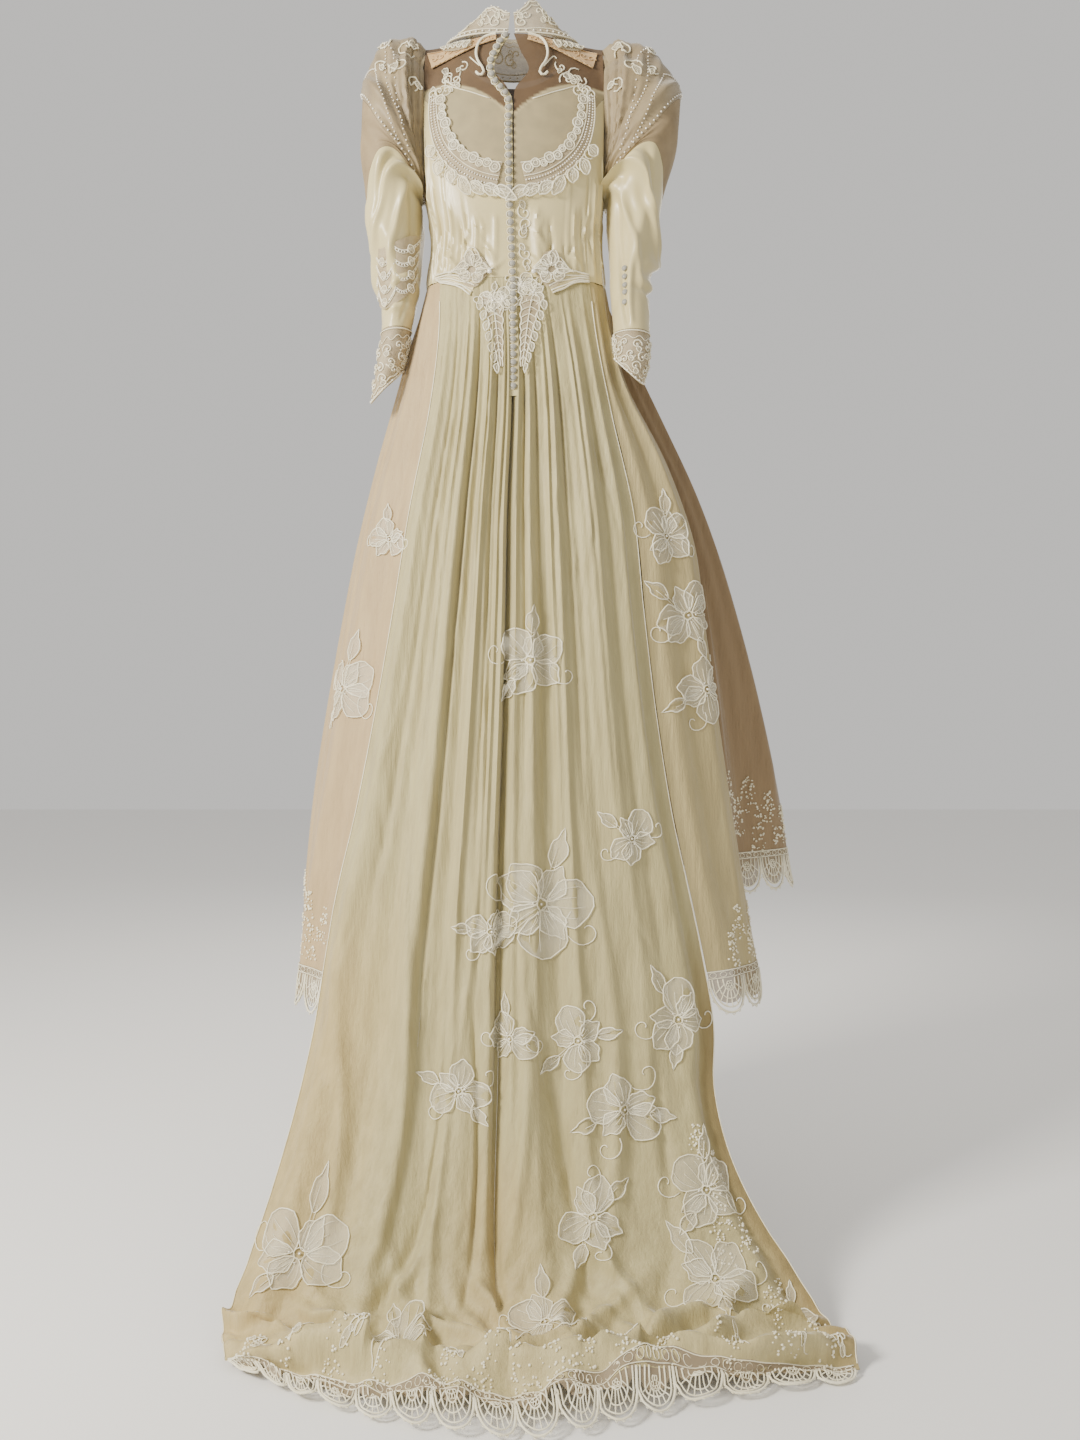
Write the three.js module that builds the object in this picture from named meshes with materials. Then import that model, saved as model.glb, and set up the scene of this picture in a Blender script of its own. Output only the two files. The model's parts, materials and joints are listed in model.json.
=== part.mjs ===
// A high-necked wedding dress with leg-of-mutton sleeves and a long train, seen
// as its hollow, filled-out form. Millimetres, +Z up. The back opening faces -Y,
// the wearer faces +Y, and the origin is on the shoulder line under the neck.
import * as THREE from "three";

const WALL = { satin: 1.8, net: 1.4, lace: 1.4, skirt: 2 };
const SEAM = 0.3;            // between two sewn pieces
const LAID_ON = 0.7;         // between a panel and the lace that lies on it
const WAIST_Z = -405;
const NECK_Z = 18;
const ARMPIT_Z = -255;
const ARMHOLE = { left: -152, right: 158 };   // the planes of the two armholes
const BUTTON = { radius: 5, pitch: 13.6 };

// ---------------------------------------------------------------- materials
const cloth = (color, roughness) => new THREE.MeshStandardMaterial({ color, roughness, metalness: 0 });
const SATIN = cloth("#e2d9bd", 0.4);
const ORGANZA = cloth("#cdc6a4", 0.65);
const LINING = cloth("#b39c78", 0.7);
const NET = cloth("#b8a888", 0.8);
const LACE = cloth("#ece4cc", 0.75);
const PEACH = cloth("#d8b487", 0.75);
const COVERED = cloth("#a8a08c", 0.5);

const dress = new THREE.Group();
const lerp = THREE.MathUtils.lerp;
const smooth = (x, a, b) => THREE.MathUtils.smoothstep(x, a, b);

// The value of a named column at height z, eased between the rows of a table.
function column(rows, name, z) {
  if (z >= rows[0].z) return rows[0][name];
  const last = rows[rows.length - 1];
  if (z <= last.z) return last[name];
  const i = rows.findIndex((row) => row.z < z);
  const t = (rows[i - 1].z - z) / (rows[i - 1].z - rows[i].z);
  const before = rows[Math.max(i - 2, 0)][name];
  const after = rows[Math.min(i + 1, rows.length - 1)][name];
  const curve = new THREE.CatmullRomCurve3(
    [before, rows[i - 1][name], rows[i][name], after].map((value, k) => new THREE.Vector3(k, value, 0)));
  return curve.getPoint((1 + t) / 3).y;
}

// A closed wall from a grid of outer points. surface(u, v) gives the outside for
// u and v from 0 to 1, and away is a direction that the outside faces at its middle.
function wall(name, material, { surface, columns, rows, thick, away, closed = false }) {
  const step = 1e-3;
  const normalAt = (u, v) => {
    const along = surface(Math.min(u + step, 1), v).sub(surface(Math.max(u - step, 0), v));
    const down = surface(u, Math.min(v + step, 1)).sub(surface(u, Math.max(v - step, 0)));
    return along.cross(down).normalize();
  };
  const side = Math.sign(normalAt(0.5, 0.5).dot(away)) || 1;
  const points = [];
  const wide = closed ? columns : columns + 1;
  for (const depth of [0, thick]) {
    for (let j = 0; j <= rows; j++) {
      for (let i = 0; i < wide; i++) {
        const [u, v] = [i / columns, j / rows];
        const normal = closed && i === 0
          ? normalAt(0, v).add(normalAt(1, v)).normalize() : normalAt(u, v);
        points.push(surface(u, v).addScaledVector(normal, -side * depth));
      }
    }
  }
  const at = (layer, i, j) => (layer * (rows + 1) + j) * wide + (i % wide);
  const faces = [];
  const quad = (a, b, c, d) => faces.push(a, b, c, a, c, d);
  for (let j = 0; j < rows; j++) {
    for (let i = 0; i < columns; i++) {
      quad(at(0, i, j), at(0, i + 1, j), at(0, i + 1, j + 1), at(0, i, j + 1));
      quad(at(1, i, j), at(1, i, j + 1), at(1, i + 1, j + 1), at(1, i + 1, j));
    }
  }
  for (let i = 0; i < columns; i++) {
    quad(at(0, i, 0), at(1, i, 0), at(1, i + 1, 0), at(0, i + 1, 0));
    quad(at(0, i, rows), at(0, i + 1, rows), at(1, i + 1, rows), at(1, i, rows));
  }
  for (let j = 0; j < rows && !closed; j++) {
    quad(at(0, 0, j), at(0, 0, j + 1), at(1, 0, j + 1), at(1, 0, j));
    quad(at(0, columns, j), at(1, columns, j), at(1, columns, j + 1), at(0, columns, j + 1));
  }
  addSolid(name, material, points, faces);
}

// Adds a mesh, with its faces turned outwards.
function addSolid(name, material, points, faces) {
  let volume = 0;
  for (let k = 0; k < faces.length; k += 3) {
    const [a, b, c] = [points[faces[k]], points[faces[k + 1]], points[faces[k + 2]]];
    volume += a.dot(b.clone().cross(c));
  }
  if (volume < 0) faces.reverse();
  const geometry = new THREE.BufferGeometry().setFromPoints(points);
  geometry.setIndex(faces);
  geometry.computeVertexNormals();
  const mesh = new THREE.Mesh(geometry, material);
  mesh.name = name;
  dress.add(mesh);
}

// ------------------------------------------------------------- torso surface
// Each row is a level of the bodice: its half-widths, how deep the back and the
// front are at the middle and at the side seam or armhole, and how much of the
// width is rounded (the rest is the flat of the shoulder).
const TORSO = [
  { z: 18, left: 152, right: 158, back: 48, backEdge: 3, front: 64, frontEdge: 3, round: 0.76 },
  { z: -8, left: 152, right: 158, back: 57, backEdge: 21, front: 78, frontEdge: 21, round: 0.86 },
  { z: -45, left: 152, right: 158, back: 67, backEdge: 36, front: 92, frontEdge: 38, round: 0.96 },
  { z: -100, left: 152, right: 158, back: 78, backEdge: 44, front: 106, frontEdge: 50, round: 1 },
  { z: -170, left: 152, right: 158, back: 87, backEdge: 46, front: 115, frontEdge: 54, round: 1 },
  { z: ARMPIT_Z, left: 149, right: 156, back: 92, backEdge: 40, front: 112, frontEdge: 48, round: 1 },
  { z: -330, left: 137, right: 151, back: 85, backEdge: 32, front: 98, frontEdge: 38, round: 1 },
  { z: WAIST_Z, left: 147, right: 158, back: 78, backEdge: 26, front: 84, frontEdge: 30, round: 1 },
];

// A point of the torso: across from -1 (viewer's left) to 1, back or front.
function torso(face, across, z) {
  const half = column(TORSO, across < 0 ? "left" : "right", z);
  const edge = column(TORSO, `${face}Edge`, z);
  const middle = column(TORSO, face, z);
  const part = Math.min(Math.abs(across) / column(TORSO, "round", z), 1);
  const softness = lerp(1.3, 0.62, smooth(-z, 20, 150));
  const rounded = Math.pow(1 - Math.pow(part, 2.3), softness);
  const y = edge + (middle - edge) * rounded;
  return new THREE.Vector3(across * half, face === "back" ? -y : y, z);
}

// The side of the torso between the back seam (along 0) and the front seam (1).
function torsoSide(side, along, z) {
  const sign = side === "left" ? -1 : 1;
  const y = lerp(-column(TORSO, "backEdge", z), column(TORSO, "frontEdge", z), along);
  const bulge = 5 * Math.sin(Math.PI * along);
  return new THREE.Vector3(sign * (column(TORSO, side, z) + bulge), y, z);
}

// ------------------------------------------------------------- skirt surface
// Plan sections of the skirt from waist to train hem, points [x, y] named round
// the body: train edge left, back points, train edge right, godet, its tuck,
// front points, left seam, left side. Below the side hems only the train is cut.
const SKIRT_POINTS = ["trainL", "backL", "back", "backR", "trainR", "godet", "tuck",
  "right", "frontR", "front", "frontL", "seamL", "sideL"];
const SKIRT = [
  { z: -560, trainL: [-128, -82], backL: [-62, -106], back: [8, -112], backR: [86, -104],
    trainR: [152, -82], godet: [186, -54], tuck: [188, -10], right: [224, 46], frontR: [138, 112],
    front: [14, 130], frontL: [-104, 108], seamL: [-176, 52], sideL: [-192, -8] },
  { z: -800, trainL: [-170, -112], backL: [-84, -146], back: [2, -154], backR: [104, -146],
    trainR: [204, -112], godet: [300, -56], tuck: [296, -16], right: [338, 54], frontR: [214, 160],
    front: [26, 192], frontL: [-148, 162], seamL: [-238, 74], sideL: [-256, -14] },
  { z: -1050, trainL: [-210, -126], backL: [-106, -168], back: [0, -178], backR: [118, -168],
    trainR: [230, -128], godet: [338, -60], tuck: [326, -18], right: [430, 78], frontR: [280, 196],
    front: [40, 236], frontL: [-182, 202], seamL: [-288, 90], sideL: [-304, -18] },
  { z: -1300, trainL: [-256, -140], backL: [-128, -186], back: [-6, -198], backR: [132, -186],
    trainR: [266, -142], godet: [374, -62], tuck: [352, -18], right: [496, 100], frontR: [336, 232],
    front: [54, 272], frontL: [-206, 236], seamL: [-326, 100], sideL: [-344, -22] },
  { z: -1480, trainL: [-296, -150], backL: [-146, -204], back: [-10, -218], backR: [146, -202],
    trainR: [304, -150], godet: [402, -64], tuck: [376, -18], right: [526, 112], frontR: [362, 250],
    front: [62, 292], frontL: [-220, 252], seamL: [-342, 106], sideL: [-362, -26] },
  { z: -1655, trainL: [-322, -166], backL: [-160, -230], back: [-12, -244], backR: [158, -226],
    trainR: [336, -164], godet: [428, -70], tuck: [398, -20], right: [540, 116], frontR: [372, 258],
    front: [64, 300], frontL: [-226, 258], seamL: [-350, 108], sideL: [-374, -32] },
  { z: -1800, trainL: [-350, -214], backL: [-174, -264], back: [-14, -278], backR: [166, -258],
    trainR: [338, -206], godet: [430, -110], tuck: [398, -20], right: [540, 116], frontR: [372, 258],
    front: [64, 300], frontL: [-226, 258], seamL: [-350, 108], sideL: [-410, -90] },
  { z: -1930, trainL: [-384, -272], backL: [-194, -308], back: [-16, -320], backR: [186, -302],
    trainR: [388, -262], godet: [480, -180], tuck: [398, -20], right: [540, 116], frontR: [372, 258],
    front: [64, 300], frontL: [-226, 258], seamL: [-350, 108], sideL: [-450, -170] },
  { z: -2020, trainL: [-410, -340], backL: [-212, -356], back: [-10, -368], backR: [216, -352],
    trainR: [452, -334], godet: [560, -270], tuck: [398, -20], right: [540, 116], frontR: [372, 258],
    front: [64, 300], frontL: [-226, 258], seamL: [-350, 108], sideL: [-490, -250] },
  { z: -2066, trainL: [-420, -404], backL: [-222, -424], back: [0, -436], backR: [232, -424],
    trainR: [486, -402], godet: [600, -360], tuck: [398, -20], right: [540, 116], frontR: [372, 258],
    front: [64, 300], frontL: [-226, 258], seamL: [-350, 108], sideL: [-520, -330] },
  { z: -2074, trainL: [-408, -450], backL: [-226, -512], back: [14, -540], backR: [248, -500],
    trainR: [500, -462], godet: [620, -440], tuck: [398, -20], right: [540, 116], frontR: [372, 258],
    front: [64, 300], frontL: [-226, 258], seamL: [-350, 108], sideL: [-520, -400] },
  { z: -2076, trainL: [-384, -486], backL: [-226, -584], back: [34, -650], backR: [262, -574],
    trainR: [502, -508], godet: [620, -490], tuck: [398, -20], right: [540, 116], frontR: [372, 258],
    front: [64, 300], frontL: [-226, 258], seamL: [-350, 108], sideL: [-500, -420] },
];

// The waist section lies on the torso, so that the skirt hangs from the bodice.
const spot = (point) => [point.x, point.y];
const WAIST_SECTION = {
  z: WAIST_Z,
  trainL: spot(torso("back", -0.84, WAIST_Z)),
  backL: spot(torso("back", -0.42, WAIST_Z)),
  back: spot(torso("back", 0, WAIST_Z)),
  backR: spot(torso("back", 0.42, WAIST_Z)),
  trainR: spot(torso("back", 0.84, WAIST_Z)),
  godet: spot(torsoSide("right", 0.1, WAIST_Z)),
  tuck: spot(torsoSide("right", 0.6, WAIST_Z)),
  right: spot(torso("front", 0.88, WAIST_Z)),
  frontR: spot(torso("front", 0.5, WAIST_Z)),
  front: spot(torso("front", 0, WAIST_Z)),
  frontL: spot(torso("front", -0.5, WAIST_Z)),
  seamL: spot(torso("front", -0.92, WAIST_Z)),
  sideL: spot(torsoSide("left", 0.3, WAIST_Z)),
};
const SECTIONS = [WAIST_SECTION, ...SKIRT];
const LENGTHWISE = SKIRT_POINTS.map((name) => new THREE.CatmullRomCurve3(
  SECTIONS.map((row) => new THREE.Vector3(row[name][0], row[name][1], row.z))));

// The largest folds: where the crest stands round the skirt (counted in section
// points from trainL), how wide it is in the same measure, and how far it stands out.
const FOLDS = [
  { at: 0.3, wide: 0.42, out: 12 }, { at: 0.86, wide: 0.4, out: 15 }, { at: 1.36, wide: 0.34, out: 13 },
  { at: 1.72, wide: 0.3, out: 16 }, { at: 2.22, wide: 0.3, out: 17 }, { at: 2.6, wide: 0.32, out: 12 },
  { at: 3.06, wide: 0.4, out: 15 }, { at: 3.55, wide: 0.36, out: 13 }, { at: 4.35, wide: 0.4, out: 10 },
  { at: 4.95, wide: 0.35, out: 9 }, { at: 7.4, wide: 0.4, out: 14 }, { at: 8.1, wide: 0.45, out: 18 },
  { at: 8.8, wide: 0.4, out: 15 }, { at: 9.5, wide: 0.45, out: 18 }, { at: 10.2, wide: 0.4, out: 16 },
  { at: 10.8, wide: 0.35, out: 12 }, { at: 11.6, wide: 0.4, out: 11 }, { at: 12.35, wide: 0.4, out: 12 },
];
const ROW_AT = (name) => SECTIONS.findIndex((row) => row.z === name) / (SECTIONS.length - 1);
const FLOOR_ROW = ROW_AT(-2020);

function foldsAt(around, down) {
  const growth = smooth(down, 0, 0.45) * lerp(1, 0.8, smooth(down, FLOOR_ROW, 1));
  let out = 0;
  for (const fold of FOLDS) {
    const off = Math.abs(around - fold.at) / fold.wide;
    if (off < 1) out += fold.out * Math.cos(off * Math.PI / 2) ** 2;
  }
  return out * growth;
}

// Ripples across the train where it lies in a heap on the floor.
function heapAt(around, down) {
  const onFloor = smooth(down, FLOOR_ROW + 0.03, FLOOR_ROW + 0.14) * (1 - smooth(down, 0.93, 1));
  const drift = 0.35 * Math.sin(1.9 * around + 0.6);
  return onFloor * 18 * (0.5 + 0.5 * Math.sin(2 * Math.PI * (down * 11 + drift)));
}

// A point of the skirt: around in section points, down from 0 (waist) to 1 (hem).
function skirt(around, down, lift = 0) {
  const section = (a, d) => new THREE.CatmullRomCurve3(LENGTHWISE.map((line) => line.getPoint(d)), true)
    .getPoint((((a / SKIRT_POINTS.length) % 1) + 1) % 1);
  const point = section(around, down);
  const across = section(around + 0.02, down).sub(section(around - 0.02, down));
  const along = section(around, Math.min(down + 0.005, 1)).sub(section(around, Math.max(down - 0.005, 0)));
  const normal = along.cross(across).normalize();
  return point.addScaledVector(normal, foldsAt(around, down) + heapAt(around, down) + lift);
}

// A stretch of the skirt between two places round it and two levels, which may
// depend on the place. A seam's width is taken off each side.
function skirtPiece(name, material, from, to, top, bottom, columns, rows, away) {
  const level = (value, u) => (typeof value === "function" ? value(u) : value);
  const inset = (place) => (SIDE_SEAMS.includes(place) ? 0.024 : 0.003);
  wall(name, material, {
    surface: (u, v) => skirt(
      lerp(from + inset(from), to - inset(to), u),
      lerp(level(top, u) + CROSS_SEAM, level(bottom, u) - CROSS_SEAM, v)),
    columns, rows, thick: WALL.skirt, away,
  });
}

const SIDE_SEAMS = [0, 4, 6, 11, 13];   // where the skirt turns sharply at a seam
const CROSS_SEAM = 0.0002;   // half the gap of a seam that runs round, as a share of the length
const BACKWARD = new THREE.Vector3(0, -1, 0.3);
const FORWARD = new THREE.Vector3(0, 1, 0);
const LEFTWARD = new THREE.Vector3(-1, 0, 0);
const RIGHTWARD = new THREE.Vector3(1, 0, 0);
const SIDE_HEM = ROW_AT(-1655);
const FRONT_HEM = ROW_AT(-1480);
const LACE_DROP = 0.036;     // how far a hem lace reaches down, as a share of the length
const frontHem = (u) => lerp(FRONT_HEM, SIDE_HEM, smooth(u, 0.55, 1));
const TRAIN_LACE = 0.955;
const gores = [
  { name: "train_gore_left", from: 0, to: 1.1 },
  { name: "train_gore_back_left", from: 1.1, to: 1.96 },
  { name: "train_gore_back_right", from: 1.96, to: 2.9 },
  { name: "train_gore_right", from: 2.9, to: 4 },
];
for (const gore of gores) {
  skirtPiece(gore.name, ORGANZA, gore.from, gore.to, 0, TRAIN_LACE, 7, 17, BACKWARD);
  const lace = gore.name.replace("train_gore", "train_hem_lace");
  skirtPiece(lace, LACE, gore.from, gore.to, TRAIN_LACE, 1, 7, 1, BACKWARD);
}
const sidePieces = [
  { name: "skirt_godet_right", from: 4, to: 6, hem: SIDE_HEM, columns: 6, away: RIGHTWARD, material: ORGANZA },
  { name: "skirt_front", from: 6, to: 11, hem: frontHem, columns: 18, away: FORWARD, material: LINING },
  { name: "skirt_side_left", from: 11, to: 13, hem: SIDE_HEM, columns: 7, away: LEFTWARD, material: LINING },
];
for (const piece of sidePieces) {
  const hem = (u) => (typeof piece.hem === "function" ? piece.hem(u) : piece.hem);
  const laceTop = (u) => hem(u) - LACE_DROP;
  skirtPiece(piece.name, piece.material, piece.from, piece.to, 0, laceTop, piece.columns, 10, piece.away);
  skirtPiece(`${piece.name}_hem_lace`, LACE, piece.from, piece.to, laceTop, hem, piece.columns, 1, piece.away);
}

// ------------------------------------------------------------------- bodice
// The satin back ends at a U-shaped neckline, and net fills the U up to the neck.
const U_LINE = [
  { across: 0, z: -262 }, { across: 0.2, z: -256 }, { across: 0.42, z: -238 }, { across: 0.62, z: -206 },
  { across: 0.78, z: -160 }, { across: 0.9, z: -112 }, { across: 1, z: -92 },
];
function neckline(across) {
  const at = Math.abs(across);
  const i = Math.max(1, U_LINE.findIndex((point) => point.across >= at));
  const [a, b] = [U_LINE[i - 1], U_LINE[i]];
  return lerp(a.z, b.z, (at - a.across) / (b.across - a.across));
}

// The sweetheart top edge of the satin front, seen through the net.
const sweetheart = (across) => -84 - 24 * Math.cos(Math.PI * Math.abs(across) / 0.92) ** 2
  - 30 * Math.exp(-((across / 0.14) ** 2));
// The keyhole: its half-width at each height of the back opening.
const KEYHOLE = [
  { z: 14, left: 3, right: 3 }, { z: -22, left: 22, right: 17 }, { z: -54, left: 31, right: 29 },
  { z: -72, left: 25, right: 21 }, { z: -92, left: 4, right: 4 }, { z: -262, left: 4, right: 4 },
];
const eased = (u) => Math.sin((u * Math.PI) / 2);

const OPENING = 4;           // the back opening's half-width below the keyhole
for (const side of ["left", "right"]) {
  const sign = side === "left" ? -1 : 1;
  const half = (z) => column(TORSO, side, z);
  wall(`bodice_back_${side}`, SATIN, {
    surface: (u, v) => {
      const z = lerp(WAIST_Z + SEAM, neckline(eased(u)) - SEAM, v);
      return torso("back", sign * lerp(OPENING / half(z), 1 - SEAM / half(z), eased(u)), z);
    },
    columns: 9, rows: 7, thick: WALL.satin, away: BACKWARD,
  });
  wall(`yoke_back_${side}`, NET, {
    surface: (u, v) => {
      const top = NECK_Z - SEAM - 8 * smooth(eased(u), 0.7, 1);
      const z = lerp(neckline(eased(u)) + SEAM, top, v);
      const inner = column(KEYHOLE, side, z) / half(z);
      return torso("back", sign * lerp(inner, 1 - SEAM / half(z), eased(u)), z);
    },
    columns: 9, rows: 8, thick: WALL.net, away: BACKWARD,
  });
  wall(`bodice_side_${side}`, SATIN, {
    surface: (u, v) => torsoSide(side, lerp(0.006, 0.994, u), lerp(WAIST_Z + SEAM, ARMPIT_Z - 4, v)),
    columns: 4, rows: 5, thick: WALL.satin, away: side === "left" ? LEFTWARD : RIGHTWARD,
  });
}
const acrossFront = (u) => Math.sin((lerp(-1, 1, u) * Math.PI) / 2) * 0.998;
const frontNeck = (across) => NECK_Z - 3 * SEAM - 34 * Math.max(0, 1 - (across / 0.74) ** 2)
  - 8 * smooth(Math.abs(across), 0.7, 1);
wall("bodice_front", SATIN, {
  surface: (u, v) => {
    const across = acrossFront(u);
    return torso("front", across, lerp(WAIST_Z + SEAM, sweetheart(across), v));
  },
  columns: 14, rows: 7, thick: WALL.satin, away: FORWARD,
});
wall("yoke_front", NET, {
  surface: (u, v) => {
    const across = acrossFront(u);
    return torso("front", across, lerp(sweetheart(across) + 2 * SEAM, frontNeck(across), v));
  },
  columns: 14, rows: 4, thick: WALL.net, away: FORWARD,
});

// ------------------------------------------------------------------- collar
// A standing lace collar, open at the centre back, higher at two points beside it.
const COLLAR = { baseWide: 116, baseBack: 47, baseFront: 62, topWide: 58, topBack: 42, topFront: 46, nape: 53 };
const COLLAR_PEAKS = [{ x: -36, high: 18, wide: 22 }, { x: 36, high: 30, wide: 20 }];
function collar(turn, up) {
  const [c, s] = [Math.cos(turn), Math.sin(turn)];
  const depth = (back, front) => (s < 0 ? back : front) * s;
  const top = new THREE.Vector3(COLLAR.topWide * c, depth(COLLAR.topBack, COLLAR.topFront), COLLAR.nape);
  for (const peak of COLLAR_PEAKS) {
    top.z += peak.high * Math.exp(-(((top.x - peak.x) / peak.wide) ** 2)) * (s < 0 ? 1 : 0.35);
  }
  const base = new THREE.Vector3(COLLAR.baseWide * c, depth(COLLAR.baseBack, COLLAR.baseFront), NECK_Z + 1);
  if (s > 0) base.z -= 34 * s * s;
  return base.lerp(top, up);
}
wall("collar", LACE, {
  surface: (u, v) => collar(lerp(-Math.PI / 2 + 0.045, 1.5 * Math.PI - 0.06, u), v),
  columns: 28, rows: 2, thick: WALL.lace, away: FORWARD,
});

// ------------------------------------------------- trims that lie on the back
// The depth of the back at a place given by its x and z.
function backDepth(x, z) {
  if (z > NECK_Z) return collar(-Math.acos(THREE.MathUtils.clamp(x / 100, -1, 1)), (z - NECK_Z) / 36).y;
  if (z >= WAIST_Z) return torso("back", x / column(TORSO, x < 0 ? "left" : "right", z), z).y;
  const down = skirtLevel(z);
  let [low, high] = [0, 4];
  for (let k = 0; k < 24; k++) {
    const middle = (low + high) / 2;
    if (skirt(middle, down).x < x) low = middle; else high = middle;
  }
  return skirt(low, down).y;
}

// How far down the skirt a height lies.
function skirtLevel(z) {
  let [low, high] = [0, 0.7];
  for (let k = 0; k < 24; k++) {
    const middle = (low + high) / 2;
    if (LENGTHWISE[2].getPoint(middle).z > z) low = middle; else high = middle;
  }
  return low;
}

// A point a little behind the back, moved out from the panel it lies on.
function onBack(x, z, lift) {
  const slopeX = (backDepth(x + 2, z) - backDepth(x - 2, z)) / 4;
  const slopeZ = z > NECK_Z - 4 ? 0 : (backDepth(x, z + 2) - backDepth(x, z - 2)) / 4;
  const normal = new THREE.Vector3(slopeX, -1, slopeZ).normalize();
  return new THREE.Vector3(x, backDepth(x, z), z).addScaledVector(normal, lift);
}

// A trim of one cloth thickness that lies a little behind the back panels: place
// gives its x and z for u and v from 0 to 1.
function trim(name, material, columns, rows, lift, place) {
  wall(name, material, {
    surface: (u, v) => {
      const [x, z] = place(u, v);
      return onBack(x, z, lift + WALL.lace);
    },
    columns, rows, thick: WALL.lace, away: BACKWARD,
  });
}

// A line through named points, as [x, z] for a place along it from 0 to 1.
function route(points) {
  const curve = new THREE.CatmullRomCurve3(points.map(([x, z]) => new THREE.Vector3(x, 0, z)));
  return (t) => { const p = curve.getPointAt(t); return [p.x, p.z]; };
}
function band(line, width) {
  return (u, v) => {
    const [x, z] = line(u);
    const [ax, az] = line(Math.max(u - 0.01, 0));
    const [bx, bz] = line(Math.min(u + 0.01, 1));
    const length = Math.hypot(bx - ax, bz - az);
    const off = (v - 0.5) * width(u);
    return [x - ((bz - az) / length) * off, z + ((bx - ax) / length) * off];
  };
}
const LAYER = LAID_ON + 0.6;      // lift of the first layer over the rounded back
for (const sign of [-1, 1]) {
  const side = sign < 0 ? "left" : "right";
  const border = route([[sign * 128, -92], [sign * 126, -132], [sign * 112, -180], [sign * 84, -214],
    [sign * 52, -234], [sign * 21, -242]]);
  trim(`neckline_lace_${side}`, LACE, 10, 2, LAYER, band(border, (u) => lerp(24, 50, u)));
  const strip = route([[sign * 143, -22], [sign * 110, -12], [sign * 64, 1], [sign * 27, 8]]);
  trim(`shoulder_strip_${side}`, PEACH, 12, 3, LAYER + 0.6, band(strip, (u) => lerp(34, 9, u)));
  trim(`collar_lobe_${side}`, LACE, 6, 2, 2 * LAYER + WALL.lace + 0.6,
    (u, v) => [sign * lerp(68, 118, u), -1 + (v - 0.5) * (6 + 14 * Math.sin(Math.PI * lerp(0.1, 0.9, u)))]);
  trim(`waist_rosette_${side}`, LACE, 6, 4, 2 * LAID_ON + WALL.lace + 0.3,
    (u, v) => [sign * lerp(42, 92, u), -392 + (v - 0.5) * (20 + 44 * Math.sin(Math.PI * u))]);
  const swag = route([[sign * 132, -400], [sign * 106, -402], [sign * 80, -410], [sign * 62, -418]]);
  trim(`waist_swag_${side}`, SATIN, 8, 2, LAID_ON, band(swag, (u) => lerp(12, 38, u)));
  trim(`basque_lace_${side}`, LACE, 3, 6, LAYER - 0.4, (u, v) => {
    const reach = lerp(40, 7, v ** 0.8);
    return [sign * lerp(14, 14 + reach, u) + (sign < 0 ? 0 : 1), lerp(-440, -566, v)];
  });
}

// The buttons stand on a strip that follows the keyhole and then runs straight down.
const OPENING_LINE = [[-9, 14], [-20, -2], [-30, -24], [-36, -46], [-31, -70], [-18, -88], [-6, -106],
  [-5, -150], [-4, -220], [-2, -300], [2, WAIST_Z], [3, -500], [4, -616]];
const openingLine = route(OPENING_LINE);
trim("button_strip", SATIN, 34, 1, LAYER, band(openingLine, () => 12));

// Covered buttons in a row, joined by the cord of their loops: a bead of small
// rings swept down the line.
function buttonRow(name, points) {
  const sides = 5;
  const rings = [];
  points.forEach((point, k) => {
    const next = points[Math.min(k + 1, points.length - 1)];
    const last = points[Math.max(k - 1, 0)];
    const along = next.clone().sub(last).normalize();
    for (const [ahead, radius] of [[-1, 0.4], [0, 1], [1, 0.4]]) {
      const centre = point.clone().addScaledVector(along, ahead * BUTTON.radius);
      rings.push({ centre, along, radius: radius * BUTTON.radius });
    }
  });
  const corners = [];
  for (const ring of rings) {
    const across = new THREE.Vector3(1, 0, 0).cross(ring.along).normalize();
    const over = ring.along.clone().cross(across);
    for (let k = 0; k < sides; k++) {
      const turn = (2 * Math.PI * k) / sides;
      corners.push(ring.centre.clone()
        .addScaledVector(across, 0.62 * ring.radius * Math.cos(turn))
        .addScaledVector(over, ring.radius * Math.sin(turn)));
    }
  }
  const faces = [];
  const at = (ring, k) => ring * sides + (k % sides);
  for (let ring = 0; ring + 1 < rings.length; ring++) {
    for (let k = 0; k < sides; k++) {
      faces.push(at(ring, k), at(ring + 1, k), at(ring + 1, k + 1));
      faces.push(at(ring, k), at(ring + 1, k + 1), at(ring, k + 1));
    }
  }
  for (let k = 1; k + 1 < sides; k++) {
    faces.push(at(0, 0), at(0, k), at(0, k + 1));
    const end = rings.length - 1;
    faces.push(at(end, 0), at(end, k + 1), at(end, k));
  }
  addSolid(name, COVERED, corners, faces);
}
const lineLength = new THREE.CatmullRomCurve3(
  OPENING_LINE.map(([x, z]) => new THREE.Vector3(x, 0, z))).getLength();
const buttonPlaces = [];
for (let at = 5; at < lineLength - 5; at += BUTTON.pitch) {
  const [x, z] = openingLine(at / lineLength);
  buttonPlaces.push(onBack(x, z, LAYER + WALL.lace + LAID_ON + 0.62 * BUTTON.radius));
}
const ROWS_OF_BUTTONS = ["buttons_keyhole", "buttons_bodice", "buttons_waist", "buttons_basque"];
const perRow = Math.ceil(buttonPlaces.length / ROWS_OF_BUTTONS.length);
ROWS_OF_BUTTONS.forEach((name, k) => buttonRow(name, buttonPlaces.slice(k * perRow, (k + 1) * perRow)));

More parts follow.
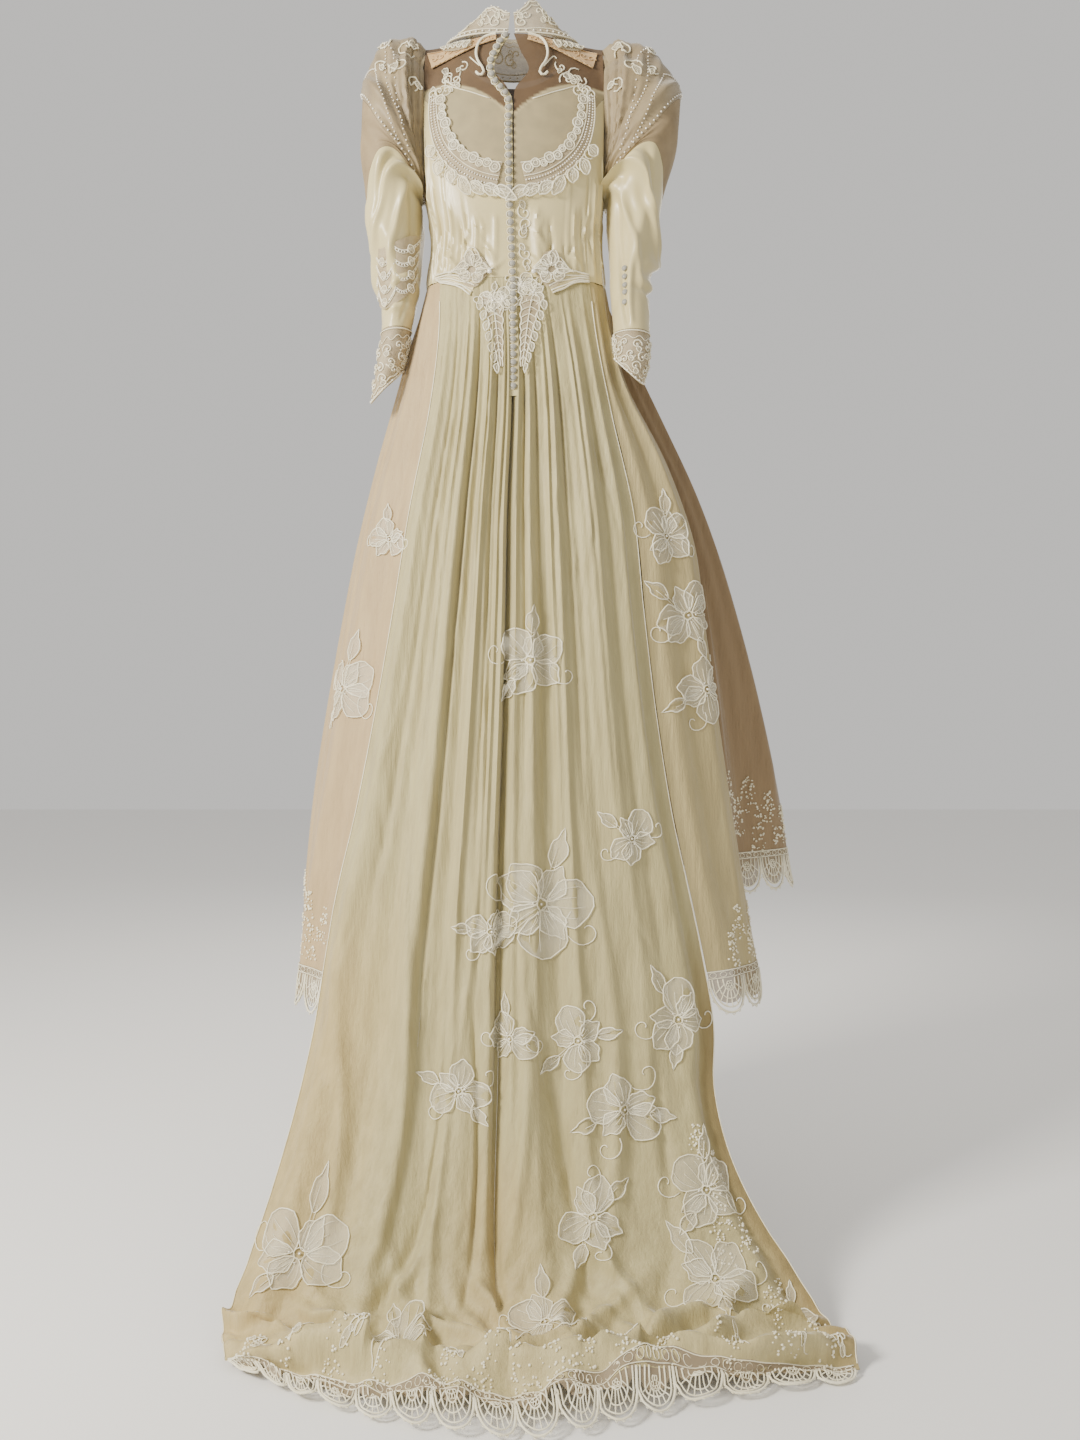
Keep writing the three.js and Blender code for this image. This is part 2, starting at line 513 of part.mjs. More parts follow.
// ------------------------------------------------------------------ sleeves
// Each row is a section of the sleeve: the outer and inner edge as x and z from
// the armhole plane (x counted outwards), and its half-depth in y.
const SLEEVES = {
  left: [
    { outX: 0, outZ: 6, inX: 0, inZ: -246, deep: 47 },
    { outX: 30, outZ: 27, inX: 3, inZ: -249, deep: 62 },
    { outX: 76, outZ: 4, inX: 5, inZ: -252, deep: 74 },
    { outX: 104, outZ: -42, inX: 7, inZ: -255, deep: 80 },
    { outX: 112, outZ: -118, inX: 9, inZ: -258, deep: 82 },
    { outX: 110, outZ: -196, inX: 10, inZ: -264, deep: 76 },
    { outX: 100, outZ: -280, inX: 9, inZ: -296, deep: 64 },
    { outX: 86, outZ: -354, inX: 11, inZ: -352, deep: 54 },
    { outX: 78, outZ: -432, inX: 15, inZ: -426, deep: 45 },
    { outX: 78, outZ: -496, inX: 28, inZ: -492, deep: 38 },
    { outX: 88, outZ: -560, inX: 40, inZ: -548, deep: 34 },
    { outX: 96, outZ: -612, inX: 52, inZ: -590, deep: 32 },
  ],
  right: [
    { outX: 0, outZ: 6, inX: 0, inZ: -240, deep: 47 },
    { outX: 34, outZ: 22, inX: 3, inZ: -243, deep: 62 },
    { outX: 88, outZ: -6, inX: 4, inZ: -246, deep: 76 },
    { outX: 130, outZ: -52, inX: 5, inZ: -249, deep: 84 },
    { outX: 136, outZ: -106, inX: 6, inZ: -252, deep: 84 },
    { outX: 122, outZ: -186, inX: 8, inZ: -260, deep: 78 },
    { outX: 100, outZ: -262, inX: 10, inZ: -294, deep: 66 },
    { outX: 96, outZ: -340, inX: 11, inZ: -350, deep: 56 },
    { outX: 80, outZ: -412, inX: 11, inZ: -414, deep: 46 },
    { outX: 77, outZ: -480, inX: 14, inZ: -480, deep: 40 },
    { outX: 76, outZ: -540, inX: 18, inZ: -540, deep: 36 },
    { outX: 66, outZ: -592, inX: 18, inZ: -588, deep: 33 },
  ],
};
const SLEEVE_SWING = { left: -24, right: -84 };   // how far the hand end hangs behind the shoulder
// Crosswise folds of a full sleeve: place down it, how wide, how far out, on
// which part of the way round (0 outside, 0.25 back, 0.5 inside, 0.75 front).
const SLEEVE_FOLDS = [
  { at: 0.4, wide: 0.08, out: 7, turn: 0.34 }, { at: 0.55, wide: 0.08, out: 6, turn: 0.3 },
];

// A point of a sleeve: turn from 0 to 1 round it, down from 0 (armhole) to 1.
function sleeve(side, turn, down, lift = 0) {
  const sign = side === "left" ? -1 : 1;
  const rows = SLEEVES[side];
  const line = (xName, zName) => new THREE.CatmullRomCurve3(
    rows.map((row) => new THREE.Vector3(ARMHOLE[side] + sign * (SEAM + row[xName]), 0, row[zName])));
  const outer = line("outX", "outZ").getPoint(down);
  const inner = line("inX", "inZ").getPoint(down);
  const deep = new THREE.CatmullRomCurve3(rows.map((row, k) => new THREE.Vector3(k, row.deep, 0)))
    .getPoint(down).y;
  const centre = outer.clone().add(inner).multiplyScalar(0.5);
  const half = outer.clone().sub(centre);
  let out = lift;
  for (const fold of SLEEVE_FOLDS) {
    const off = Math.abs(down - fold.at - 0.06 * Math.cos(2 * Math.PI * (turn - fold.turn))) / fold.wide;
    const around = 0.5 + 0.5 * Math.cos(2 * Math.PI * (turn - fold.turn));
    if (off < 1) out += fold.out * around * Math.cos(off * Math.PI / 2) ** 2;
  }
  const angle = 2 * Math.PI * turn;
  const grow = 1 + out / half.length();
  const point = centre.clone().addScaledVector(half, Math.cos(angle) * grow);
  point.y = -Math.sin(angle) * (deep + out) + 2 + SLEEVE_SWING[side] * smooth(down, 0.5, 0.92);
  return point;
}
// Where the net of the sleeve head gives way to satin, as a place down the
// sleeve: high at the underarm and low on the outside.
const netEnd = (turn) => 0.36 + 0.17 * Math.cos(2 * Math.PI * turn);
const SATIN_END = { left: 0.8, right: 0.85 };
const PUFF_END = 0.32;
for (const side of ["left", "right"]) {
  const outward = side === "left" ? LEFTWARD : RIGHTWARD;
  const tube = (name, material, columns, rows, thick, top, bottom, away, lift = 0) => wall(name, material, {
    surface: (u, v) => sleeve(side, u % 1, lerp(top(u), bottom(u), v), lift),
    columns, rows, thick, away, closed: true,
  });
  const gap = 0.0005;
  const puffEnd = (u) => Math.min(PUFF_END, netEnd(u) - 0.03);
  const inward = outward.clone().negate();
  tube(`sleeve_puff_${side}`, ORGANZA, 14, 5, WALL.net, () => 0, (u) => puffEnd(u) - gap, inward);
  tube(`sleeve_net_${side}`, NET, 14, 2, WALL.net, (u) => puffEnd(u) + gap, (u) => netEnd(u) - gap, inward);
  tube(`sleeve_satin_${side}`, SATIN, 14, 7, WALL.satin, (u) => netEnd(u) + gap,
    () => SATIN_END[side] - gap, inward);
  tube(`cuff_lace_${side}`, LACE, 14, 2, WALL.lace, () => SATIN_END[side] + gap,
    (u) => 0.955 + 0.045 * Math.cos(2 * Math.PI * (u - 0.1)), inward);
}
wall("elbow_lace_left", LACE, {
  surface: (u, v) => sleeve("left", lerp(-0.1, 0.42, u), lerp(0.61, 0.735, v) - 0.02 * Math.cos(6 * u), LAYER + 2.4),
  columns: 8, rows: 3, thick: WALL.lace, away: BACKWARD,
});
const CUFF_BUTTONS = 7;
buttonRow("buttons_cuff_right", [...Array(CUFF_BUTTONS).keys()].map((k) =>
  sleeve("right", 0.3, 0.7 + 0.0205 * k, 0.62 * BUTTON.radius + 0.3)));

// The keyhole's two scrolled cords, from the collar round to a curl at the keyhole's side.
for (const sign of [-1, 1]) {
  const line = new THREE.CatmullRomCurve3([
    [27, 14], [36, 13], [49, 7], [57, -6], [60, -22], [57, -38], [49, -52], [47, -60], [53, -66], [60, -59],
  ].map(([x, z]) => onBack(sign * x, z, 2 * WALL.lace + LAYER + 1.6)));
  const shape = new THREE.Shape();
  shape.absarc(0, 0, 2.2, 0, 2 * Math.PI, false);
  const cord = new THREE.ExtrudeGeometry(shape, { steps: 18, curveSegments: 3, bevelEnabled: false, extrudePath: line });
  cord.deleteAttribute("normal");
  cord.deleteAttribute("uv");
  const mesh = new THREE.Mesh(cord, LACE);
  mesh.name = `keyhole_scroll_${sign < 0 ? "left" : "right"}`;
  dress.add(mesh);
}

export default dress;
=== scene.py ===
import json
import math
import bpy
import numpy as np
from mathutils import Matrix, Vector
from mathutils.bvhtree import BVHTree

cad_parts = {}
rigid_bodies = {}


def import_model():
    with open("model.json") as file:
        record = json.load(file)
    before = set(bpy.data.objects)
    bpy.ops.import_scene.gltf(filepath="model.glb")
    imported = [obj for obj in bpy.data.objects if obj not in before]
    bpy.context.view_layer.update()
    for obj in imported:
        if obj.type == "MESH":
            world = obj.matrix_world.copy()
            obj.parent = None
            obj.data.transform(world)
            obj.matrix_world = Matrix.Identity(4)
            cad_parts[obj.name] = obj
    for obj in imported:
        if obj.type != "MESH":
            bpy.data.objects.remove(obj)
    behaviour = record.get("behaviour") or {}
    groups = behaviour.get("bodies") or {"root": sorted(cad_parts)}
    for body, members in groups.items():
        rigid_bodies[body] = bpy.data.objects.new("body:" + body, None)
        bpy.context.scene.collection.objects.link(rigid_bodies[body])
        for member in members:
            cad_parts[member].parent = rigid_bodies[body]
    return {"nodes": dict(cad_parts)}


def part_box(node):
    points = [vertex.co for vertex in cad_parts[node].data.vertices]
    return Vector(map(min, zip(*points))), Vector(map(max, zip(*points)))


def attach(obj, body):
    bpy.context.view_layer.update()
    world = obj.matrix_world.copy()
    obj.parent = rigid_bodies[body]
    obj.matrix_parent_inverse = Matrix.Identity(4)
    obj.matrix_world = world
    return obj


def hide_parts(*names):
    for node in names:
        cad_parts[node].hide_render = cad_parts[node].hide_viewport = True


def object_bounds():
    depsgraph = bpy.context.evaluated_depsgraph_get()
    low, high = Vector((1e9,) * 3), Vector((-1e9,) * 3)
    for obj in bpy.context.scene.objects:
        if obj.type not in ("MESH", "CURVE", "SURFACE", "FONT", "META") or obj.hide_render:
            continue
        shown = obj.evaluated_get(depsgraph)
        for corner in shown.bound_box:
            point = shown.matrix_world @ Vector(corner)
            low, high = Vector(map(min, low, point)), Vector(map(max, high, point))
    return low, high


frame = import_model()
cad_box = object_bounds()
bpy.ops.object.select_all(action="DESELECT")
MM = 0.001


# ---------------------------------------------------------------- the room
# A pale floor and soft light. The camera looks at the back of the dress from
# a little over two metres away, at the height of the skirt.
camera = bpy.data.objects.new("camera", bpy.data.cameras.new("camera"))
bpy.context.collection.objects.link(camera)
bpy.context.scene.camera = camera
camera.location = (0.048, -2.234, -1.082)
camera.rotation_euler = (math.radians(90 - 2.08), 0, 0)
camera.data.lens = 31.25
camera.data.sensor_width = 36
camera.data.clip_end = 50

bpy.ops.mesh.primitive_plane_add(size=14, location=(0, 0, cad_box[0].z - 0.003))
floor = bpy.context.object
floor.name = "floor"


def lamp(name, place, aim, size, power, colour):
    light = bpy.data.lights.new(name, "AREA")
    light.size, light.energy, light.color = size, power, colour
    lamp_object = bpy.data.objects.new(name, light)
    bpy.context.collection.objects.link(lamp_object)
    lamp_object.location = place
    lamp_object.rotation_euler = (Vector(aim) - Vector(place)).to_track_quat("-Z", "Y").to_euler()


lamp("window", (-2.3, -1.9, 0.3), (0, 0, -0.9), 0.9, 200, (1, 0.955, 0.87))
lamp("fill", (2.4, -2.2, -0.9), (0, 0, -1.2), 2.2, 8, (1, 0.93, 0.82))
lamp("back", (0.3, 2.4, 0.4), (0, 0, -0.9), 2.0, 34, (1, 0.95, 0.86))
world = bpy.data.worlds.new("studio")
bpy.context.scene.world = world
world.use_nodes = True
world.node_tree.nodes["Background"].inputs["Color"].default_value = (1, 0.98, 0.95, 1)
world.node_tree.nodes["Background"].inputs["Strength"].default_value = 0.72


# ------------------------------------------------------------ finishes, in words
class Sum:
    """One shader value, so that sums on it add Math nodes."""

    def __init__(self, finish, socket):
        self.finish, self.socket = finish, socket

    def maths(self, operation, *values):
        return self.finish.node("ShaderNodeMath", {"operation": operation}, dict(enumerate(values)))

    def __add__(self, other):
        return self.maths("ADD", self, other)

    def __sub__(self, other):
        return self.maths("SUBTRACT", self, other)

    def __rsub__(self, other):
        return self.maths("SUBTRACT", other, self)

    def __mul__(self, other):
        return self.maths("MULTIPLY", self, other)

    __radd__, __rmul__ = __add__, __mul__


class Finish:
    """A cloth's material: one Principled shader, and nodes for what varies over it."""

    def __init__(self, name, colour, **constants):
        self.material = bpy.data.materials.new(name)
        self.material.use_nodes = True
        self.tree = self.material.node_tree
        self.shader = self.tree.nodes["Principled BSDF"]
        self.colour = (*colour, 1)
        self.shader.inputs["Base Color"].default_value = self.colour
        self.shader.inputs["Specular IOR Level"].default_value = 0.35
        for key, value in constants.items():
            self.shader.inputs[key.replace("_", " ")].default_value = value
        self.place = self.node("ShaderNodeTexCoord", out="Object")

    def node(self, kind, settings=None, inputs=None, out=0):
        made = self.tree.nodes.new(kind)
        for key, value in (settings or {}).items():
            setattr(made, key, value)
        for key, value in (inputs or {}).items():
            if isinstance(value, Sum):
                self.tree.links.new(value.socket, made.inputs[key])
            else:
                made.inputs[key].default_value = value
        return Sum(self, made.outputs[out])

    def noise(self, scale, detail=4, rough=0.6, stretch=(1, 1, 1)):
        place = self.node("ShaderNodeMapping", None, {"Vector": self.place, "Scale": stretch})
        return self.node("ShaderNodeTexNoise", None,
                         {"Vector": place, "Scale": scale, "Detail": detail, "Roughness": rough})

    def between(self, share, low, high):
        """A number that goes from low to high as share goes from 0.3 to 0.7."""
        return self.node("ShaderNodeMapRange", None, {
            "Value": share, "From Min": 0.3, "From Max": 0.7, "To Min": low, "To Max": high})

    def mix(self, share, first, second, blend="MIX"):
        made = self.tree.nodes.new("ShaderNodeMix")
        made.data_type, made.blend_type = "RGBA", blend
        for key, value in (("Factor", share), ("A", first), ("B", second)):
            socket = next(s for s in made.inputs
                          if s.name == key and s.type == ("VALUE" if key == "Factor" else "RGBA"))
            if isinstance(value, Sum):
                self.tree.links.new(value.socket, socket)
            else:
                socket.default_value = value if key == "Factor" else (*value[:3], 1)
        return Sum(self, next(s for s in made.outputs if s.type == "RGBA"))

    def tint(self):
        return self.node("ShaderNodeAttribute", {"attribute_name": "tint"}, None, "Color")

    def set(self, name, value):
        self.tree.links.new(value.socket, self.shader.inputs[name])
        return self

    def bump(self, height, strength, distance):
        bumped = self.node("ShaderNodeBump", None, {
            "Height": height, "Strength": strength, "Distance": distance}, "Normal")
        return self.set("Normal", bumped)


floor_finish = Finish("pale_floor", (0.86, 0.85, 0.83), Roughness=0.75)
floor.data.materials.append(floor_finish.material)


# -------------------------------------------------- panels read from the frame
# Each panel of the frame is a wall with an outer and an inner grid of points.
# The outer grid is read back, so that every sheet is cut to its own panel.
WALLS = (1.4, 1.8, 2.0)


def outer_grid(node, away=None, down=(0, -0.5, -1), right=(1, 0, 0)):
    """The panel's outer points as rows from top to bottom, each from left to right."""
    mesh = frame["nodes"][node].data
    mesh.calc_loop_triangles()
    raw = np.array([v.co[:] for v in mesh.vertices])
    faces = np.array([t.vertices[:] for t in mesh.loop_triangles])
    _, first, back = np.unique(np.round(raw, 6), axis=0, return_index=True, return_inverse=True)
    points, faces = raw[first], back.reshape(-1)[faces]

    def sides(face):
        return [(face[k], face[(k + 1) % 3]) for k in range(3)]

    def is_rim(face):
        return any(abs(np.linalg.norm(points[a] - points[b]) / MM - wall) < 0.004
                   for a, b in sides(face) for wall in WALLS)
    skin = [f for f in faces if not is_rim(f)]
    users = {}
    for k, face in enumerate(skin):
        for a, b in sides(face):
            users.setdefault((min(a, b), max(a, b)), []).append(k)
    island = [-1] * len(skin)
    areas = []
    for start in range(len(skin)):
        if island[start] >= 0:
            continue
        island[start], queue, score = len(areas), [start], 0.0
        while queue:
            k = queue.pop()
            a, b, c = points[skin[k]]
            normal = np.cross(b - a, c - a)
            score += np.linalg.norm(normal) if away is None else normal @ np.array(away)
            for p, q in sides(skin[k]):
                for other in users[(min(p, q), max(p, q))]:
                    if island[other] < 0:
                        island[other] = island[k]
                        queue.append(other)
        areas.append(score)
    outer = [k for k in range(len(skin)) if island[k] == int(np.argmax(areas))]
    count = {}
    for k in outer:
        for p in skin[k]:
            count[p] = count.get(p, 0) + 1
    corners = [p for p in count if count[p] == 1]
    wrap = 0
    if corners:
        start = next(k for k in outer if corners[0] in skin[k])
        others = [p for p in skin[start] if p != corners[0]]
        place = {corners[0]: (0, 0), others[0]: (1, 0), others[1]: (0, 1)}
    else:
        inside = set(outer)
        rim = {}
        for edge, ks in users.items():
            if sum(k in inside for k in ks) == 1:
                for a, b in (edge, edge[::-1]):
                    rim.setdefault(a, []).append(b)
        shoulder = np.array((math.copysign(0.155, points[outer and skin[outer[0]][0]][0]), 0, -0.08))
        loops, left = [], set(rim)
        while left:
            queue, loop = [left.pop()], []
            while queue:
                p = queue.pop()
                loop.append(p)
                for q in rim[p]:
                    if q in left:
                        left.discard(q)
                        queue.append(q)
            loops.append(loop)
        loop = min(loops, key=lambda l: np.linalg.norm(points[l].mean(axis=0) - shoulder))
        wrap = len(loop)
        a, b = loop[0], rim[loop[0]][0]
        start = next(k for k in outer if a in skin[k] and b in skin[k])
        c = next(p for p in skin[start] if p not in (a, b))
        place = {a: (0, 0), b: (1, 0), c: (1, 1)}
    queue, seen = [start], {start}
    while queue:
        k = queue.pop(0)
        for p, q in sides(skin[k]):
            for other in users[(min(p, q), max(p, q))]:
                if other in seen or island[other] != island[k]:
                    continue
                seen.add(other)
                queue.append(other)
                new = next(v for v in skin[other] if v not in (p, q))
                old = next(v for v in skin[k] if v not in (p, q))
                if new not in place:
                    i, j = (place[p][n] + place[q][n] - place[old][n] for n in (0, 1))
                    if wrap:      # steps across the join of a tube are one column long
                        i = next(w for w in (i, i - wrap, i + wrap, i - 2 * wrap, i + 2 * wrap)
                                 if 0 <= w < wrap)
                    place[new] = (i, j)
    ij = np.array(list(place.values()))
    ij -= ij.min(axis=0)
    grid = np.zeros((ij[:, 1].max() + 1, ij[:, 0].max() + 1, 3))
    for (i, j), p in zip(ij, place):
        grid[j, i] = points[p]
    if wrap:
        for j in range(1, len(grid)):
            grid[j] = min((np.roll(grid[j], turn, axis=0) for turn in range(wrap)),
                          key=lambda row: np.sum((row - grid[j - 1]) ** 2))
        middle = grid[len(grid) // 2]
        outermost = int(np.argmax(np.abs(middle[:, 0])))
        grid = np.roll(grid, -outermost, axis=1)
        if grid[len(grid) // 2, 3, 1] > grid[len(grid) // 2, -3, 1]:
            grid = np.roll(grid[:, ::-1], 1, axis=1)
        return grid
    step_i = np.abs((grid[:, 1:] - grid[:, :-1]).mean(axis=(0, 1)) @ np.array(down))
    step_j = np.abs((grid[1:] - grid[:-1]).mean(axis=(0, 1)) @ np.array(down))
    if step_i > step_j:
        grid = grid.transpose(1, 0, 2)
    if (grid[-1] - grid[0]).mean(axis=0) @ np.array(down) < 0:
        grid = grid[::-1]
    if (grid[:, -1] - grid[:, 0]).mean(axis=0) @ np.array(right) < 0:
        grid = grid[:, ::-1]
    return grid


class Cloth:
    """A sheet of cloth laid smoothly through its panel's points.

    u runs across it and v down it, both from 0 to 1, and relief gives the
    height of its folds over that surface, in metres.
    """

    def __init__(self, grid, relief=None, loop=False, inside=None):
        self.loop, self.relief = loop, relief
        self.rows, self.columns = grid.shape[:2]
        middle = grid.reshape(-1, 3).mean(axis=0)
        ends = (grid[:1] * 2 - grid[1:2], grid, grid[-1:] * 2 - grid[-2:-1])
        tall = np.concatenate(ends)
        ends = ((tall[:, -1:], tall, tall[:, :2]) if loop else
                (tall[:, :1] * 2 - tall[:, 1:2], tall, tall[:, -1:] * 2 - tall[:, -2:-1]))
        self.net = np.concatenate(ends, axis=1)
        self.turn = 1
        if inside is None:
            inside = middle if loop else np.array((0.02, 0.03, middle[2] - 0.3))
        u, v = np.meshgrid(np.linspace(0.02, 0.98, 15), np.linspace(0.02, 0.98, 15))
        _, across, down = self.slopes(u, v)
        normal = np.cross(down, across)
        away = self.smooth(u, v) - np.array(inside)
        if np.sum(normal * away) < 0:
            self.turn = -1

    def smooth(self, u, v):
        def weights(t):
            return ((-t + 2 * t * t - t ** 3) / 2, (2 - 5 * t * t + 3 * t ** 3) / 2,
                    (t + 4 * t * t - 3 * t ** 3) / 2, (t ** 3 - t * t) / 2)
        across = self.columns if self.loop else self.columns - 1
        if self.loop:
            u = u % 1
        a, b = u * across, v * (self.rows - 1)
        i = np.clip(np.floor(a), 0, across - 1).astype(int)
        j = np.clip(np.floor(b), 0, self.rows - 2).astype(int)
        wide, tall = weights(a - i), weights(b - j)
        total = np.zeros(np.shape(a) + (3,))
        for q in range(4):
            for p in range(4):
                total += (wide[p] * tall[q])[..., None] * self.net[j + q, i + p]
        return total

    def slopes(self, u, v, step=0.004):
        here = self.smooth(u, v)
        across = (self.smooth(u + step, v) - self.smooth(u - step, v)) / (2 * step)
        down = (self.smooth(u, v + step) - self.smooth(u, v - step)) / (2 * step)
        return here, across, down

    def normal(self, across, down):
        n = np.cross(down, across) * self.turn
        return n / np.maximum(np.linalg.norm(n, axis=-1, keepdims=True), 1e-12)

    def at(self, u, v, lift=0.0):
        """Points on the folded cloth, raised by lift metres along its outside."""
        u, v = np.broadcast_arrays(np.asarray(u, float), np.asarray(v, float))
        here, across, down = self.slopes(u, v)
        height = self.relief(u, v) if self.relief else np.zeros(u.shape)
        return here + self.normal(across, down) * (height + lift)[..., None]

    def near(self, u0, v0, x, y, lift=0.0):
        """Points x across and y up from a spot, in metres measured on the cloth."""
        here, across, down = (w[0] for w in self.slopes(np.array([u0]), np.array([v0])))
        n = self.normal(across, down)
        side = across / np.linalg.norm(across)
        up = np.cross(n, side) * self.turn
        if up @ down > 0:
            up = -up
        table = np.array(((across @ across, across @ down), (across @ down, down @ down)))
        way = np.asarray(x)[..., None] * side + np.asarray(y)[..., None] * up
        solved = np.linalg.solve(table, np.stack((way @ across, way @ down)).reshape(2, -1))
        shape = np.shape(np.asarray(x) + np.asarray(y))
        return self.at(u0 + solved[0].reshape(shape), v0 + solved[1].reshape(shape), lift)


def new_piece(name, points, faces, finishes, which=None, uv=None, tint=None, smooth=True):
    mesh = bpy.data.meshes.new(name)
    mesh.from_pydata([tuple(p) for p in points], [], [tuple(int(k) for k in f) for f in faces])
    for finish in finishes:
        mesh.materials.append(finish.material)
    if which is not None:
        mesh.polygons.foreach_set("material_index", np.asarray(which, dtype=np.int32))
    corner = np.zeros(len(mesh.loops), dtype=np.int32)
    mesh.loops.foreach_get("vertex_index", corner)
    if uv is not None:
        layer = mesh.uv_layers.new(name="UVMap")
        layer.data.foreach_set("uv", np.asarray(uv, dtype=np.float32)[corner].ravel())
    if tint is not None:
        shade = mesh.attributes.new("tint", "FLOAT_COLOR", "POINT")
        full = np.concatenate((np.asarray(tint), np.ones((len(tint), 1))), axis=1)
        shade.data.foreach_set("color", full.astype(np.float32).ravel())
    mesh.polygons.foreach_set("use_smooth", np.full(len(mesh.polygons), smooth))
    mesh.update()
    made = bpy.data.objects.new(name, mesh)
    bpy.context.collection.objects.link(made)
    return made


def belongs(piece, slot, *nodes):
    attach(piece, "root")
    if nodes:
        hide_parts(*nodes)
    return piece


def thicken(piece, thickness):
    wall = piece.modifiers.new("wall", "SOLIDIFY")
    wall.thickness, wall.offset, wall.use_even_offset = thickness, -1, False
    bpy.context.view_layer.objects.active = piece
    bpy.ops.object.modifier_apply(modifier=wall.name)
    piece.select_set(True)
    bpy.ops.object.shade_smooth_by_angle(angle=math.radians(62))
    piece.select_set(False)


def sew(name, cloth, finish, across, down, u=(0, 1), v=(0, 1), thickness=0.9 * MM, tint=None):
    """Cuts one sheet out of a cloth, across by down meshes in size."""
    columns = across if cloth.loop else across + 1
    us = np.linspace(u[0], u[1], across + 1)[:columns]
    uu, vv = np.meshgrid(us, np.linspace(v[0], v[1], down + 1))
    points = cloth.at(uu, vv)
    if name.startswith("train"):
        points[..., 2] = np.maximum(points[..., 2], cad_box[0].z + 1.6 * MM)
    k = np.arange((down + 1) * columns).reshape(down + 1, columns)
    nxt = np.roll(k, -1, axis=1) if cloth.loop else k
    a, b = (k[:-1], nxt[:-1]) if cloth.loop else (k[:-1, :-1], k[:-1, 1:])
    c, d = (nxt[1:], k[1:]) if cloth.loop else (k[1:, 1:], k[1:, :-1])
    faces = np.stack((a, b, c, d) if cloth.turn < 0 else (a, d, c, b), axis=-1).reshape(-1, 4)
    flat = points.reshape(-1, 3)
    uv = np.stack((uu, vv), axis=-1).reshape(-1, 2)
    shade = np.ones((len(flat), 3)) if tint is None else tint(uu, vv, points).reshape(-1, 3)
    piece = new_piece(name, flat, faces, [finish], uv=uv, tint=shade)
    thicken(piece, thickness)
    wide = np.linalg.norm(np.diff(points, axis=1), axis=2).sum(axis=1)
    tall = np.linalg.norm(np.diff(points, axis=0), axis=2).sum(axis=0)
    piece["cut"] = (float(wide.max()), float(tall.max()))
    one, two = points[1:, :-1] - points[:-1, :-1], points[:-1, 1:] - points[:-1, :-1]
    piece["area"] = float(np.linalg.norm(np.cross(one, two), axis=2).sum())
    return piece


def cut_size(piece, fullness=1.0):
    wide, tall = piece["cut"]
    wide *= fullness
    del piece["cut"], piece["area"]


def bell(x):
    return np.exp(-x * x)


def step(x, low, high):
    t = np.clip((x - low) / (high - low), 0, 1)
    return t * t * (3 - 2 * t)


def long_folds(table, u, v):
    """Soft ridges (or troughs, below nothing) that run down a cloth, in metres."""
    height = np.zeros(np.shape(u))
    for u_top, u_low, v_top, v_low, width, rise, bow in table:
        share = np.clip((v - v_top) / (v_low - v_top), 0, 1)
        line = u_top + (u_low - u_top) * share + bow * np.sin(math.pi * share)
        ends = step(v, v_top - 0.03, v_top + 0.09) * (1 - step(v, v_low - 0.09, v_low + 0.03))
        height += rise * MM * ends * bell((u - line) / (width * (0.75 + 0.5 * share)))
    return height


def creases(table, u, v, scale):
    """Short creases laid where the cloth is crushed: place, heading, length, width, rise."""
    height = np.zeros(np.shape(u))
    for u0, v0, heading, length, width, rise in table:
        x, y = (u - u0) * scale[0], (v - v0) * scale[1]
        turn = math.radians(heading)
        along = x * math.cos(turn) + y * math.sin(turn)
        off = -x * math.sin(turn) + y * math.cos(turn) - 0.12 * along * along / length
        height += rise * MM * bell(along / length) * bell(off / width)
    return height


# -------------------------------------------------------------------- the train
# Four organza gores over satin, sewn into one skirt back that hangs from the
# waist in long folds, then runs out over the floor and crumples there.
def joined(names, hems=()):
    tops = [outer_grid(n) for n in names]
    if hems:
        lows = [outer_grid(n) for n in hems]
        tops = [np.concatenate((t[:-1], (t[-1:] + l[:1]) / 2, l[1:])) for t, l in zip(tops, lows)]
    whole = tops[0]
    for grid in tops[1:]:
        whole = np.concatenate((whole[:, :-1], (whole[:, -1:] + grid[:, :1]) / 2, grid[:, 1:]), axis=1)
    return whole


GORES = ("left", "back_left", "back_right", "right")
train_grid = joined(["train_gore_" + g for g in GORES], ["train_hem_lace_" + g for g in GORES])
